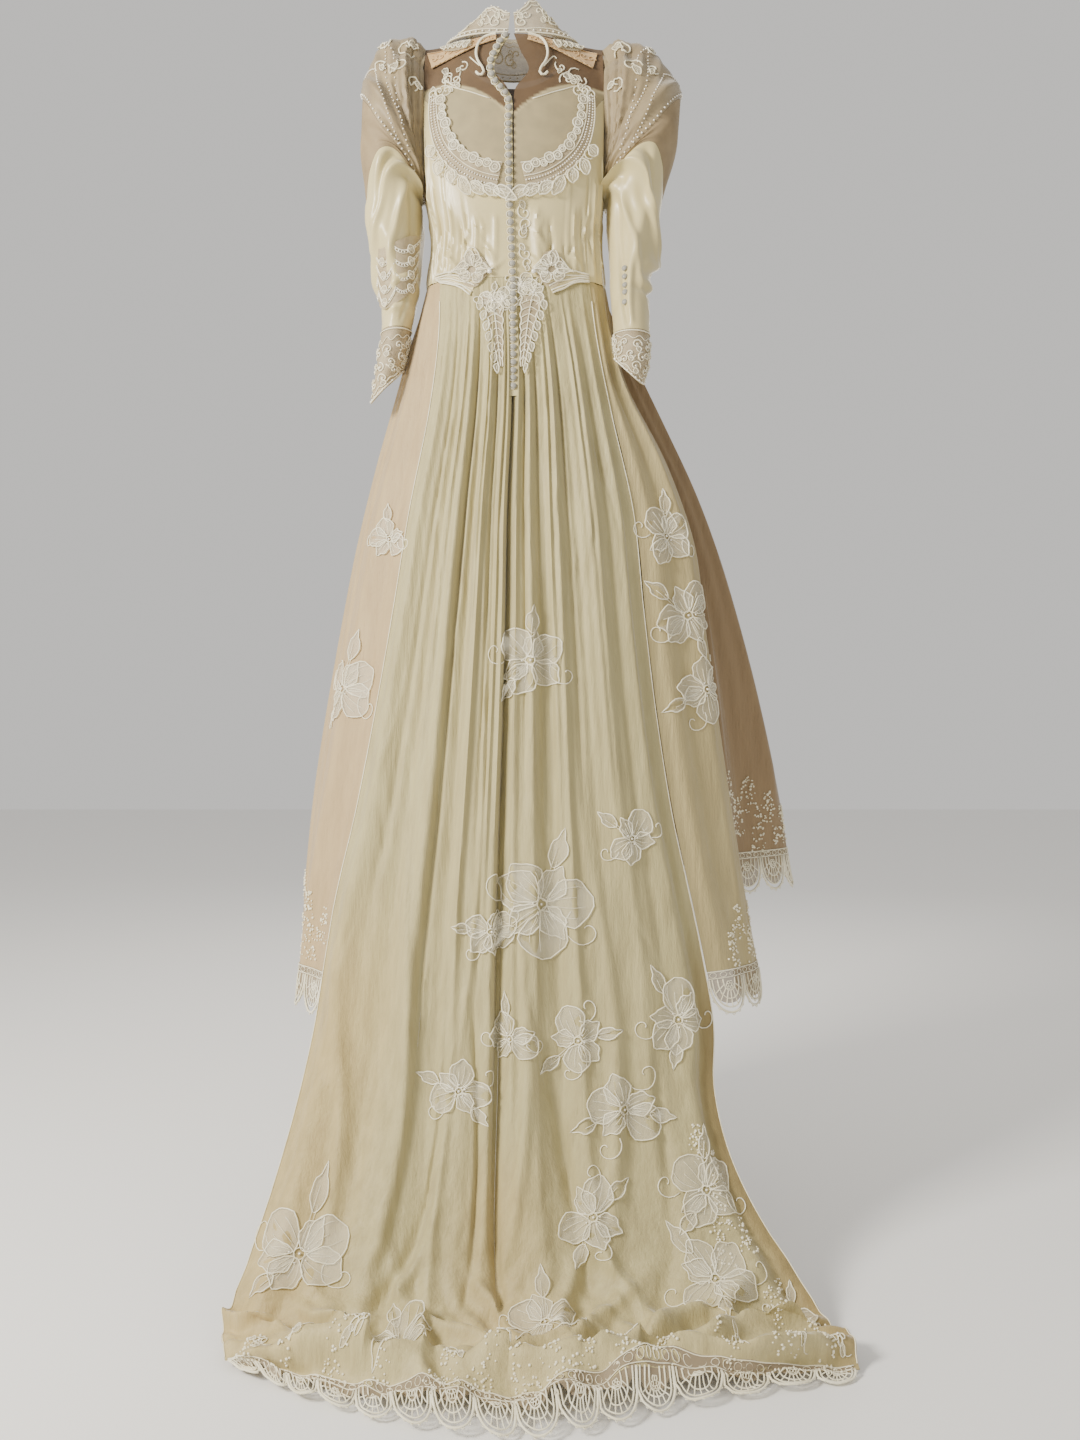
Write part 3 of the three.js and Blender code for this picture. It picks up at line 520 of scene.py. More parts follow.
# u at the waist, u at the hem, v of its top, v of its end, width, rise in mm, bow
TRAIN_FOLDS = (
    (0.030, 0.03, 0.00, 0.30, 0.009, 4, 0.004), (0.062, 0.06, 0.02, 0.85, 0.022, 7, -0.010),
    (0.115, 0.10, 0.00, 0.42, 0.010, -5, 0.006),
    (0.150, 0.15, 0.06, 0.72, 0.024, -8, 0.010), (0.185, 0.16, 0.00, 0.36, 0.010, 6, 0.008),
    (0.218, 0.22, 0.00, 0.92, 0.018, 9, 0.004),
    (0.252, 0.24, 0.00, 0.50, 0.008, -7, 0.002), (0.290, 0.30, 0.08, 0.84, 0.026, -9, 0.006),
    (0.322, 0.33, 0.00, 0.30, 0.008, 6, 0.002),
    (0.352, 0.355, 0.00, 0.95, 0.014, 9, -0.004), (0.384, 0.40, 0.00, 0.34, 0.007, -6, 0.001),
    (0.415, 0.44, 0.12, 0.82, 0.022, -7, -0.002),
    (0.438, 0.44, 0.00, 0.44, 0.007, 6, -0.002), (0.466, 0.475, 0.00, 0.70, 0.010, 7, -0.006),
    (0.497, 0.505, 0.00, 0.80, 0.007, -13, -0.006),
    (0.522, 0.535, 0.00, 0.60, 0.009, 8, 0.004), (0.548, 0.565, 0.00, 0.32, 0.007, -6, 0.003),
    (0.580, 0.60, 0.04, 0.92, 0.016, 8, 0.004),
    (0.612, 0.63, 0.00, 0.40, 0.008, -6, 0.004), (0.640, 0.66, 0.14, 0.80, 0.024, -8, 0.006),
    (0.668, 0.68, 0.00, 0.36, 0.008, 6, -0.003),
    (0.702, 0.72, 0.00, 0.90, 0.016, 9, -0.006), (0.738, 0.75, 0.00, 0.34, 0.008, -7, 0.002),
    (0.770, 0.79, 0.10, 0.86, 0.024, -8, 0.008),
    (0.812, 0.83, 0.00, 0.38, 0.009, 6, 0.004), (0.850, 0.86, 0.00, 0.84, 0.018, 8, -0.004),
    (0.895, 0.90, 0.04, 0.60, 0.016, -7, 0.002),
    (0.940, 0.94, 0.00, 0.84, 0.014, 6, 0.004), (0.975, 0.97, 0.30, 0.90, 0.010, -5, 0.002))
# u, v, heading in degrees, length, width, rise in mm, where the train lies crushed
TRAIN_CREASES = (
    (0.06, 0.83, 42, 0.13, 0.024, 24), (0.13, 0.91, -18, 0.14, 0.026, 26), (0.20, 0.84, 62, 0.16, 0.022, 22),
    (0.26, 0.90, 18, 0.13, 0.026, 28), (0.33, 0.80, 74, 0.18, 0.020, 18), (0.37, 0.89, -30, 0.12, 0.024, 24),
    (0.44, 0.84, 38, 0.12, 0.020, 18), (0.47, 0.90, 5, 0.10, 0.022, 22), (0.53, 0.87, -36, 0.14, 0.020, 20),
    (0.60, 0.91, 12, 0.14, 0.024, 24), (0.64, 0.83, -64, 0.16, 0.022, 22), (0.70, 0.90, -22, 0.14, 0.028, 30),
    (0.76, 0.84, -58, 0.18, 0.024, 26), (0.80, 0.92, -10, 0.14, 0.026, 28),
    (0.86, 0.86, -44, 0.16, 0.024, 26),
    (0.91, 0.91, -20, 0.12, 0.024, 24), (0.95, 0.84, 40, 0.12, 0.020, 18), (0.17, 0.78, 66, 0.14, 0.018, 12),
    (0.30, 0.74, -78, 0.14, 0.016, 10), (0.50, 0.78, 70, 0.12, 0.016, 12), (0.62, 0.76, -72, 0.16, 0.018, 14),
    (0.74, 0.75, 72, 0.14, 0.018, 12), (0.88, 0.77, -66, 0.12, 0.016, 12), (0.10, 0.95, 5, 0.10, 0.012, 10),
    (0.35, 0.955, -6, 0.10, 0.012, 10), (0.60, 0.955, 8, 0.10, 0.012, 10), (0.84, 0.955, -8, 0.10, 0.012, 9),
    (0.23, 0.52, 84, 0.30, 0.016, 12), (0.34, 0.58, 96, 0.26, 0.016, -12), (0.46, 0.62, 88, 0.22, 0.012, -14),
    (0.57, 0.56, 94, 0.26, 0.016, 12), (0.66, 0.62, 82, 0.22, 0.016, -12), (0.78, 0.56, 96, 0.26, 0.018, 14),
    (0.12, 0.60, 80, 0.24, 0.018, 12), (0.86, 0.62, 98, 0.20, 0.014, -10), (0.42, 0.36, 90, 0.22, 0.012, 9))
dice = np.random.default_rng(7)
FINE_CREASES = [(dice.uniform(0, 1), dice.uniform(0.05, 0.97), dice.uniform(50, 130),
                 dice.uniform(0.03, 0.07),
                 dice.uniform(0.004, 0.008), dice.uniform(-2.6, 2.6)) for _ in range(150)]


def train_relief(u, v):
    crush = step(v, 0.66, 0.80)
    return (long_folds(TRAIN_FOLDS, u, v) * (0.55 + 0.45 * step(v, 0.0, 0.12))
            + creases(TRAIN_CREASES, u, v, (1.1, 1.9)) * (1 + 0.5 * crush) * (1 - step(v, 0.955, 1.0) * 0.8)
            + creases(FINE_CREASES, u, v, (1.1, 1.9))
            + 5 * MM * crush * (1 - step(v, 0.93, 1.0) * 0.7)
            * np.sin(u * 61 + 5 * np.sin(v * 19)) * np.sin(v * 57 + 3 * np.sin(u * 23)))


train = Cloth(train_grid, train_relief)
organza = Finish("organza_over_satin", (0.62, 0.59, 0.44), Roughness=0.58, Sheen_Weight=0.35,
                 Sheen_Roughness=0.4)
streak = organza.noise(9, 5, 0.65, (7, 7, 0.7))
fine = organza.noise(60, 4, 0.7, (1, 1, 0.4))
organza.set("Base Color", organza.mix(organza.between(streak, 0.15, 0.85),
                                      organza.mix(1.0, organza.tint(), (0.475, 0.435, 0.215), "MULTIPLY"),
                                      organza.mix(1.0, organza.tint(), (0.335, 0.295, 0.14), "MULTIPLY")))
organza.set("Roughness", organza.between(fine, 0.48, 0.66))
crumple = organza.node("ShaderNodeTexVoronoi", {"feature": "SMOOTH_F1"},
                       {"Vector": organza.node("ShaderNodeMapping", None,
                                               {"Vector": organza.place, "Scale": (1, 1, 0.28)}),
                                               "Scale": 24, "Smoothness": 0.7})
organza.bump(streak * 0.7 + fine * 0.25 + crumple * 0.9, 0.7, 0.007)

# Colours for train_tint: the peach laid in low on the left is painted warm light, the brown is painted shade
# on the right, and the sage is the cloth's own colour.
PEACH, SAGE, SHADE_BROWN = np.array((1.08, 0.90, 0.78)), np.array((1.03, 0.985, 1.0)), np.array((0.70, 0.58, 0.47))


def train_tint(u, v, points):
    """Sage ivory, with painted warm light in peach low on the left, painted brown shade low on the right, a
    peach patch down the middle, and paler towards the hem.
    """
    # Painted light and shade: warm peach light low on the left, brown shade low on the right.
    left = (0.75 * (1 - step(u, 0.06, 0.26)) * step(v, 0.34, 0.5) * (1 - 0.7 * step(v, 0.78, 1.0)))[..., None]
    right = (step(u, 0.93, 1.0) * step(v, 0.40, 0.5) * (1 - 0.6 * step(v, 0.86, 1.0)))[..., None]
    middle = (0.5 * bell((u - 0.50) / 0.10) * step(v, 0.56, 0.66) * (1 - step(v, 0.82, 0.94)))[..., None]
    shade = SAGE * (1 - left) + PEACH * left
    shade = shade * (1 - right) + SHADE_BROWN * right
    shade = shade * (1 - middle) + PEACH * middle
    pale = step(v, 0.66, 0.86)[..., None]
    return shade * (1 + 0.12 * pale) * np.array((1, 0.985, 0.99)) ** pale


SEAM = 0.0003
train_pieces = {}
for k, gore in enumerate(GORES):
    u = (k / 4 + (SEAM / 4 if k else -0.010), (k + 1) / 4 + (-SEAM / 4 if k < 3 else 0.008))
    train_pieces[gore] = belongs(
        sew("train_gore_cloth_" + gore, train, organza, 48, 208, u=u, v=(0, 17 / 18), tint=train_tint),
        "organza", "train_gore_" + gore)

# ----------------------------------------------------- the front and side panels
# The ground-length skirt: a front panel, a left side panel and a godet that
# hangs out from the right hip, all organza over a tan lining.
lining = Finish("organza_over_tan", (0.5, 0.42, 0.31), Roughness=0.6, Sheen_Weight=0.3, Sheen_Roughness=0.4)
streak = lining.noise(9, 5, 0.65, (7, 7, 0.7))
lining.set("Base Color", lining.mix(lining.between(streak, 0.1, 0.9),
                                    lining.mix(1.0, lining.tint(), (0.345, 0.265, 0.15), "MULTIPLY"),
                                    lining.mix(1.0, lining.tint(), (0.275, 0.205, 0.113), "MULTIPLY")))
lining.bump(streak + lining.noise(60, 4, 0.7, (1, 1, 0.4)) * 0.4 + lining.noise(16, 3, 0.6, (1, 1, 0.35)),
            0.6, 0.006)
SIDE_FOLDS = (
    (0.08, 0.06, 0.0, 0.95, 0.05, 5, 0.01), (0.22, 0.20, 0.0, 0.85, 0.05, -6, 0.02),
    (0.38, 0.36, 0.05, 1.0, 0.05, 6, -0.01),
    (0.55, 0.56, 0.0, 0.9, 0.05, -6, 0.01), (0.72, 0.74, 0.0, 1.0, 0.05, 5, 0.02),
    (0.88, 0.9, 0.05, 0.9, 0.04, -5, 0.0))
FRONT_FOLDS = tuple((0.03 + k * 0.051, 0.02 + k * 0.052, 0.0 + 0.03 * (k % 3), 0.84 + 0.05 * (k % 4),
                     0.013 + 0.003 * (k % 2),
                     (6, -7, 5, -5, 7, -6)[k % 6], 0.006 * ((k * 7) % 5 - 2)) for k in range(19))



def seamed(folds, fullness, seam_share):
    """Folds that die away towards both side seams of a panel."""
    return lambda u, v: (fullness * long_folds(folds, u, v)
                         * step(u, 0, seam_share) * step(1 - u, 0, seam_share))


front = Cloth(joined(["skirt_front"], ["skirt_front_hem_lace"]), seamed(FRONT_FOLDS, 1.8, 0.05))
side_left = Cloth(joined(["skirt_side_left"], ["skirt_side_left_hem_lace"]), seamed(SIDE_FOLDS, 1.0, 0.14))
godet = Cloth(joined(["skirt_godet_right"], ["skirt_godet_right_hem_lace"]), seamed(SIDE_FOLDS, 1.0, 0.14))


def skirt_painted_light_and_shade(u, v, points):
    """Painted light and shade: a lighter peach on the left side, painted brown shade on the right."""
    left = step(-points[..., 0], -0.05, 0.12)[..., None]
    # Painted shade on the right (darker brown), painted light on the left (lighter peach).
    return np.array((0.84, 0.76, 0.70)) * (1 - left) + np.array((1.42, 1.36, 1.24)) * left


def godet_tint(u, v, points):
    """Sage like the train beside it, with painted brown shade towards its free edge."""
    edge = step(u, 0.25, 0.95)[..., None]
    # Painted shade: browner towards the free edge.
    return np.array((1.36, 1.46, 1.26)) * (1 - edge) + np.array((1.02, 1.0, 0.90)) * edge


belongs(sew("skirt_front_cloth", front, lining, 150, 84, v=(0, 10 / 11), tint=skirt_painted_light_and_shade),
        "lined_skirt", "skirt_front")
belongs(sew("skirt_side_cloth_left", side_left, lining, 46, 84, v=(0, 10 / 11), tint=skirt_painted_light_and_shade),
        "lined_skirt", "skirt_side_left")
belongs(sew("skirt_godet_cloth_right", godet, lining, 46, 84, v=(0, 10 / 11), tint=godet_tint),
        "lined_skirt", "skirt_godet_right")

# -------------------------------------------------------------------- the bodice
# Ivory satin, lined and fitted with princess seams, which pulls into upright
# wrinkles where it is slack over the waist.
satin = Finish("ivory_satin", (0.80, 0.74, 0.58), Roughness=0.34, Sheen_Weight=0.2)
satin.shader.inputs["Specular IOR Level"].default_value = 0.55
grain = satin.noise(260, 3, 0.6, (1, 1, 0.25))
cloud = satin.noise(5, 3, 0.5)
satin.set("Base Color", satin.mix(satin.between(cloud, 0, 1),
                                  satin.mix(1.0, satin.tint(), (0.64, 0.55, 0.285), "MULTIPLY"),
                                  satin.mix(1.0, satin.tint(), (0.52, 0.435, 0.21), "MULTIPLY")))
satin.set("Roughness", satin.between(grain, 0.29, 0.41))
satin.bump(grain, 0.12, 0.0008)
BACK_WRINKLES = (
    (0.08, 0.10, 0.15, 1.0, 0.030, -4.0, 0.01), (0.17, 0.20, 0.25, 1.0, 0.020, 4.0, -0.01),
    (0.27, 0.30, 0.4, 1.0, 0.018, -3.5, 0.0),
    (0.38, 0.36, -0.1, 1.1, 0.006, -2.8, 0.03), (0.41, 0.39, -0.1, 1.1, 0.010, 1.8, 0.03),
    (0.48, 0.47, 0.45, 1.0, 0.018, 3.4, 0.01),
    (0.56, 0.58, 0.5, 1.0, 0.018, -3.4, 0.01), (0.66, 0.64, -0.1, 1.1, 0.006, -2.4, -0.02),
    (0.72, 0.72, 0.4, 1.0, 0.022, 3.6, 0.0),
    (0.80, 0.78, 0.5, 1.0, 0.018, -3.2, 0.01), (0.89, 0.88, 0.3, 1.0, 0.020, 3.0, 0.0))
SLACK = (
    (0.20, 0.60, 72, 0.07, 0.009, 4.2), (0.28, 0.70, 104, 0.06, 0.008, -4.0),
    (0.14, 0.80, 60, 0.05, 0.009, 3.6), (0.62, 0.66, 112, 0.06, 0.009, 4.0),
    (0.70, 0.80, 70, 0.06, 0.009, -4.0), (0.84, 0.72, 66, 0.06, 0.010, 4.4),
    (0.50, 0.86, 40, 0.05, 0.009, 4.0), (0.44, 0.78, 128, 0.05, 0.008, -3.4),
    (0.90, 0.88, 132, 0.05, 0.009, 3.4), (0.33, 0.90, 35, 0.05, 0.008, 3.0),
    (0.2, 0.45, 100, 0.06, 0.008, 2.6), (0.78, 0.50, 82, 0.06, 0.008, 2.6))


def bodice_relief(u, v):
    return (long_folds(BACK_WRINKLES, u, v) + creases(SLACK, u, v, (0.6, 0.6))) * step(u, 0,
        0.05) * step(1 - u, 0, 0.05)


bodice = {}
for side in ("left", "right"):
    back = Cloth(outer_grid("bodice_back_" + side), bodice_relief)
    bodice["back_" + side] = belongs(sew("bodice_back_satin_" + side, back, satin, 54, 62), "satin",
                                     "bodice_back_" + side)
    panel = Cloth(outer_grid("bodice_side_" + side, right=(0, 1, 0)),
                  lambda u, v: long_folds(((0.3, 0.35, 0.2, 1, 0.08, 2.5, 0.0),
                                           (0.7, 0.65, 0.3, 1, 0.08, -2.5, 0.0)), u, v))
    bodice["side_" + side] = belongs(sew("bodice_side_satin_" + side, panel, satin, 30, 34), "satin",
                                     "bodice_side_" + side)
FRONT_DARTS = tuple((a, b, 0.2, 1.0, 0.02, r, 0.0) for a, b, r in
                    ((0.1, 0.12, 2.5), (0.22, 0.26, -3), (0.35, 0.37, 2), (0.5, 0.5, -2), (0.64, 0.62, 2),
                     (0.78, 0.74, -3), (0.9, 0.88, 2.5)))
bodice_front = Cloth(outer_grid("bodice_front"), lambda u, v: long_folds(FRONT_DARTS, u, v))
bodice["front"] = belongs(sew("bodice_front_satin", bodice_front, satin, 84, 58), "satin", "bodice_front")

# ---------------------------------------------------------------------- the yoke
# Sheer brown net from the bodice up to the collar. Low down it lies over the
# beige lining of the front, whose upper edge is cut in two sweetheart curves.
net = Finish("sheer_net", (0.36, 0.27, 0.18), Roughness=0.7, Alpha=0.8)
swirl = net.noise(42, 2, 0.4)
net.set("Base Color", net.mix(net.between(swirl, 0, 1),
                              net.mix(1.0, net.tint(), (0.92, 0.92, 0.92), "MULTIPLY"),
                              net.mix(1.0, net.tint(), (1.12, 1.1, 1.08), "MULTIPLY")))
net.bump(net.noise(700, 2, 0.5), 0.2, 0.0006)


def yoke_tint(u, v, points):
    x, z = np.abs(points[..., 0]) / MM, points[..., 2] / MM
    edge = -73 - 32 * (np.clip(118 - x, 0, None) / 85) ** 2 - 0.12 * np.clip(x - 118, 0, None)
    lined = step(edge - z, -1.5, 1.5)[..., None]
    border = bell((edge - z - 3) / 2.5)[..., None] * 0.35
    return (np.array((0.135, 0.085, 0.045)) * (1 - lined) + np.array((0.40, 0.335,
        0.19)) * lined) * (1 + border)


yokes = {}
for side in ("left", "right"):
    yokes[side] = Cloth(outer_grid("yoke_back_" + side))
    belongs(sew("yoke_back_net_" + side, yokes[side], net, 62, 62, thickness=0.5 * MM, tint=yoke_tint),
            "net", "yoke_back_" + side)
yoke_front = Cloth(outer_grid("yoke_front"))
belongs(sew("yoke_front_net", yoke_front, net, 72, 34, thickness=0.5 * MM, tint=yoke_tint), "net",
        "yoke_front")

# ------------------------------------------------------------------- the sleeves
# Leg-of-mutton sleeves: an organza puff at the head over beige net, then satin
# that hangs in slanting drapes to the elbow and lies close down to the cuff.
puff_organza = Finish("puff_organza", (0.62, 0.55, 0.40), Roughness=0.5, Alpha=0.84, Sheen_Weight=0.4)
puff_cloud = puff_organza.noise(14, 4, 0.6)
puff_organza.set("Base Color", puff_organza.mix(puff_organza.between(puff_cloud, 0, 1),
                                                (0.40, 0.315, 0.175), (0.25, 0.185, 0.10)))
puff_organza.bump(puff_cloud + puff_organza.noise(80, 3, 0.6) * 0.4, 0.4, 0.003)
sleeve_net_finish = Finish("beige_net", (0.56, 0.47, 0.34), Roughness=0.7, Alpha=0.93)
mesh_cloud = sleeve_net_finish.noise(20, 4, 0.6)
sleeve_net_finish.set("Base Color", sleeve_net_finish.mix(sleeve_net_finish.between(mesh_cloud, 0, 1),
                                                          (0.36, 0.27, 0.155), (0.25, 0.185, 0.10)))
sleeve_net_finish.bump(mesh_cloud, 0.3, 0.002)
# u at the armhole, u at the lower edge, v of its top, v of its end, width, rise, bow
PUFF_GATHERS = (
    (0.02, 0.05, -0.1, 0.9, 0.035, 5, 0.02), (0.12, 0.10, -0.1, 0.6, 0.020, -4, 0.01),
    (0.20, 0.17, 0.0, 1.1, 0.030, 5, -0.02), (0.29, 0.30, -0.1, 0.5, 0.016, -3, 0.0),
    (0.37, 0.34, 0.0, 0.9, 0.026, 4, 0.02), (0.47, 0.48, -0.1, 0.5, 0.018, -3, 0.0),
    (0.56, 0.55, 0.0, 0.9, 0.03, 4, 0.02), (0.68, 0.66, -0.1, 0.6, 0.024, -4, 0.0),
    (0.79, 0.80, 0.0, 0.9, 0.03, 5, -0.02), (0.90, 0.91, -0.1, 0.6, 0.022, -3, 0.0))
SWAYS = (
    (0.06, 0.52, -25, 0.14, 0.014, 5), (0.22, 0.60, -30, 0.14, 0.014, -5),
    (0.16, 0.82, -18, 0.16, 0.014, 6), (0.34, 0.46, -34, 0.12, 0.012, 4),
    (0.12, 0.28, 40, 0.10, 0.012, 4), (0.28, 0.24, 36, 0.10, 0.012, -4))
# u, v, heading in degrees, length, width, rise in mm, on each satin sleeve
SATIN_DRAPES = {
    "left": ((0.38, 0.08, 132, 0.10, 0.012, 11), (0.30, 0.16, 130, 0.12, 0.012, -9),
             (0.24, 0.24, 130, 0.13, 0.014, 12), (0.16, 0.30, 124, 0.12, 0.012, -9),
             (0.10, 0.40, 118, 0.12, 0.014, 10), (0.32, 0.40, 112, 0.10, 0.010, 6),
             (0.38, 0.55, 92, 0.12, 0.008, -5), (0.22, 0.58, 80, 0.10, 0.010, 5),
             (0.30, 0.78, 14, 0.06, 0.007, 4), (0.22, 0.84, -14, 0.06, 0.007, -4),
             (0.30, 0.90, 8, 0.06, 0.007, 3.5), (0.62, 0.40, 100, 0.14, 0.014, 6),
             (0.80, 0.45, 70, 0.14, 0.014, -6), (0.04, 0.36, 100, 0.12, 0.012, 7)),
    "right": ((0.42, 0.05, 134, 0.14, 0.013, 15), (0.36, 0.12, 134, 0.15, 0.011, -12),
              (0.30, 0.17, 134, 0.17, 0.014, 17), (0.23, 0.22, 132, 0.16, 0.011, -12),
              (0.17, 0.27, 130, 0.16, 0.014, 15), (0.10, 0.34, 126, 0.13, 0.012, -10),
              (0.36, 0.36, 112, 0.12, 0.010, 7), (0.05, 0.50, 40, 0.10, 0.014, 5),
              (0.09, 0.58, 34, 0.10, 0.012, -4), (0.03, 0.65, 24, 0.10, 0.014, 4),
              (0.12, 0.72, 18, 0.08, 0.009, -6), (0.36, 0.60, 94, 0.14, 0.008, -5),
              (0.26, 0.66, 84, 0.14, 0.009, 5), (0.62, 0.40, 70, 0.14, 0.014, 6),
              (0.82, 0.45, 110, 0.14, 0.014, -6))}


def wrapped(table):
    """A tube's creases, which also show across the join of its two edges."""
    return tuple((u + turn, *rest) for u, *rest in table for turn in (-1, 0, 1))


sleeves = {}
for side in ("left", "right"):
    puff_relief = lambda u, v: (long_folds(wrapped(PUFF_GATHERS), u, v) * (1 - 0.5 * step(v, 0.3, 0.9))
                                + creases(wrapped(SWAYS), u, v, (0.5, 0.25)) * step(v, 0, 0.2)
                                ) * step(1 - v, 0, 0.06)
    puff = Cloth(outer_grid("sleeve_puff_" + side), puff_relief, loop=True)
    sleeve_net = Cloth(outer_grid("sleeve_net_" + side),
                       lambda u, v: (creases(wrapped(SWAYS), u, v, (0.5, 0.12)) * 0.4
                                     * np.sin(math.pi * np.clip(v, 0, 1))), loop=True)
    drape = wrapped(SATIN_DRAPES[side])
    sleeve_satin = Cloth(outer_grid("sleeve_satin_" + side),
                         lambda u, v: (1.35 * creases(drape, u, v, (0.36, 0.34))
                                       * step(v, 0, 0.06) * step(1 - v, 0, 0.05)), loop=True)
    sleeves[side] = {"puff": puff, "net": sleeve_net, "satin": sleeve_satin}
    belongs(sew("sleeve_puff_organza_" + side, puff, puff_organza, 112, 44, thickness=0.6 * MM), "organza",
            "sleeve_puff_" + side)
    belongs(sew("sleeve_net_beige_" + side, sleeve_net, sleeve_net_finish, 84, 20, thickness=0.6 * MM),
            "net", "sleeve_net_" + side)
    belongs(sew("sleeve_satin_cloth_" + side, sleeve_satin, satin, 100, 84), "satin", "sleeve_satin_" + side)

# ---------------------------------------------------------------------- lacework
# Corded and beaded lace: thick thread laid down in outlines, petals of close
# stitching between the cords, and small pearls sewn on by hand.
thread = Finish("lace_thread", (0.86, 0.81, 0.69), Roughness=0.5, Sheen_Weight=0.3)
thread.bump(thread.noise(900, 2, 0.5), 0.4, 0.0006)
thread_cloud = thread.noise(30, 3, 0.5)
thread.set("Base Color", thread.mix(thread.between(thread_cloud, 0, 1), (0.92, 0.87, 0.68),
                                    (0.76, 0.69, 0.48)))
stitching = Finish("petal_stitching", (0.86, 0.81, 0.64), Roughness=0.5, Alpha=0.26, Sheen_Weight=0.4)
stitching.bump(stitching.noise(500, 2, 0.5, (1, 1, 3)), 0.4, 0.0008)
pearl = Finish("pearl", (0.90, 0.85, 0.74), Roughness=0.2, Coat_Weight=0.6, Coat_Roughness=0.08)
pearl.shader.inputs["Specular IOR Level"].default_value = 0.6
lace_net = Finish("lace_ground", (0.74, 0.67, 0.53), Roughness=0.65, Alpha=0.55)
lace_net.set("Base Color", lace_net.mix(lace_net.between(lace_net.noise(60, 3, 0.6), 0, 1),
                                        (0.60, 0.51, 0.34), (0.45, 0.36, 0.22)))
lace_net.bump(lace_net.noise(500, 2, 0.5), 0.3, 0.0006)
backing_net = Finish("brown_backing_net", (0.30, 0.235, 0.15), Roughness=0.65, Alpha=0.8)
backing_net.bump(backing_net.noise(400, 2, 0.5), 0.4, 0.0008)
GOLD = (1 + 5 ** 0.5) / 2
BEAD = np.array([(x, y * GOLD, 0) for x in (-1, 1) for y in (-1, 1)] + [(0, x, y * GOLD) for x in (-1,
    1) for y in (-1, 1)]
                + [(y * GOLD, 0, x) for x in (-1, 1) for y in (-1, 1)]) / math.hypot(1, GOLD)
BEAD_FACES = []
for a in range(12):
    for b in range(a + 1, 12):
        for c in range(b + 1, 12):
            corners = BEAD[[a, b, c]]
            if all(np.linalg.norm(corners[p] - corners[q]) < 1.2 for p, q in ((0, 1), (1, 2), (0, 2))):
                out = np.cross(corners[1] - corners[0], corners[2] - corners[0]) @ corners.mean(axis=0)
                BEAD_FACES.append((a, b, c) if out > 0 else (a, c, b))


class Lacework:
    """Cords, stitched petals and pearls gathered into one piece of lace."""

    def __init__(self):
        self.points, self.faces, self.kinds, self.count = [], [], [], 0

    def add(self, points, faces, kind):
        self.points.append(points)
        self.faces += [[k + self.count for k in face] for face in faces]
        self.kinds += [kind] * len(faces)
        self.count += len(points)

    def cord(self, path, radius, sides=4, closed=False, kind=0):
        path = np.asarray(path)
        if closed:
            tangent = np.roll(path, -1, axis=0) - np.roll(path, 1, axis=0)
        else:
            tangent = np.gradient(path, axis=0)
        tangent /= np.maximum(np.linalg.norm(tangent, axis=1, keepdims=True), 1e-9)
        least = np.eye(3)[np.argmin(np.abs(tangent).mean(axis=0))]
        one = np.cross(tangent, least)
        one /= np.maximum(np.linalg.norm(one, axis=1, keepdims=True), 1e-9)
        two = np.cross(tangent, one)
        radii = np.broadcast_to(np.asarray(radius, float), (len(path),))[:, None, None]
        turn = np.arange(sides) * 2 * math.pi / sides
        rings = path[:, None] + radii * (np.cos(turn)[None, :, None] * one[:, None] + np.sin(turn)[None, :,
            None] * two[:, None])
        n, faces = len(path), []
        for j in range(n if closed else n - 1):
            for k in range(sides):
                a, b = j * sides + k, j * sides + (k + 1) % sides
                c, d = ((j + 1) % n) * sides + (k + 1) % sides, ((j + 1) % n) * sides + k
                faces.append((a, b, c, d))
        if not closed:
            faces += [tuple(range(sides))[::-1], tuple((n - 1) * sides + k for k in range(sides))]
        self.add(rings.reshape(-1, 3), faces, kind)

    def bead(self, place, radius):
        self.add(np.asarray(place) + BEAD * radius, BEAD_FACES, 1)

    def web(self, rim, middle):
        """A stitched petal: a fan from its middle to its rim, seen from both sides."""
        n = len(rim)
        self.add(np.concatenate((rim, [middle])), [(k, k + 1, n) for k in range(n - 1)], 2)

    def piece(self, name):
        return new_piece(name, np.concatenate(self.points), self.faces,
                         [thread, pearl, stitching, backing_net], which=self.kinds)


class Spot:
    """A place on a cloth where a motif is laid, with its own size and turn."""

    def __init__(self, cloth, u, v, turn=0.0, size=1.0):
        self.cloth, self.u, self.v, self.size = cloth, u, v, size
        self.turn = math.radians(turn)

    def __call__(self, x, y, lift=1.0):
        x, y = np.asarray(x, float) * self.size * MM, np.asarray(y, float) * self.size * MM
        c, s = math.cos(self.turn), math.sin(self.turn)
        return self.cloth.near(self.u, self.v, x * c - y * s, x * s + y * c, lift * MM)


def curl(x, y, start, size, turns=1.1, hand=1, tail=1.0):
    """A scroll that winds in towards x, y; start is the side that its tail lies on."""
    t = np.linspace(0, 1, 18)
    angle = math.radians(start) + hand * 2 * math.pi * turns * t
    radius = size * (tail * (1 - t) ** 1.3 + 0.16)
    return x + radius * np.cos(angle), y + radius * np.sin(angle)


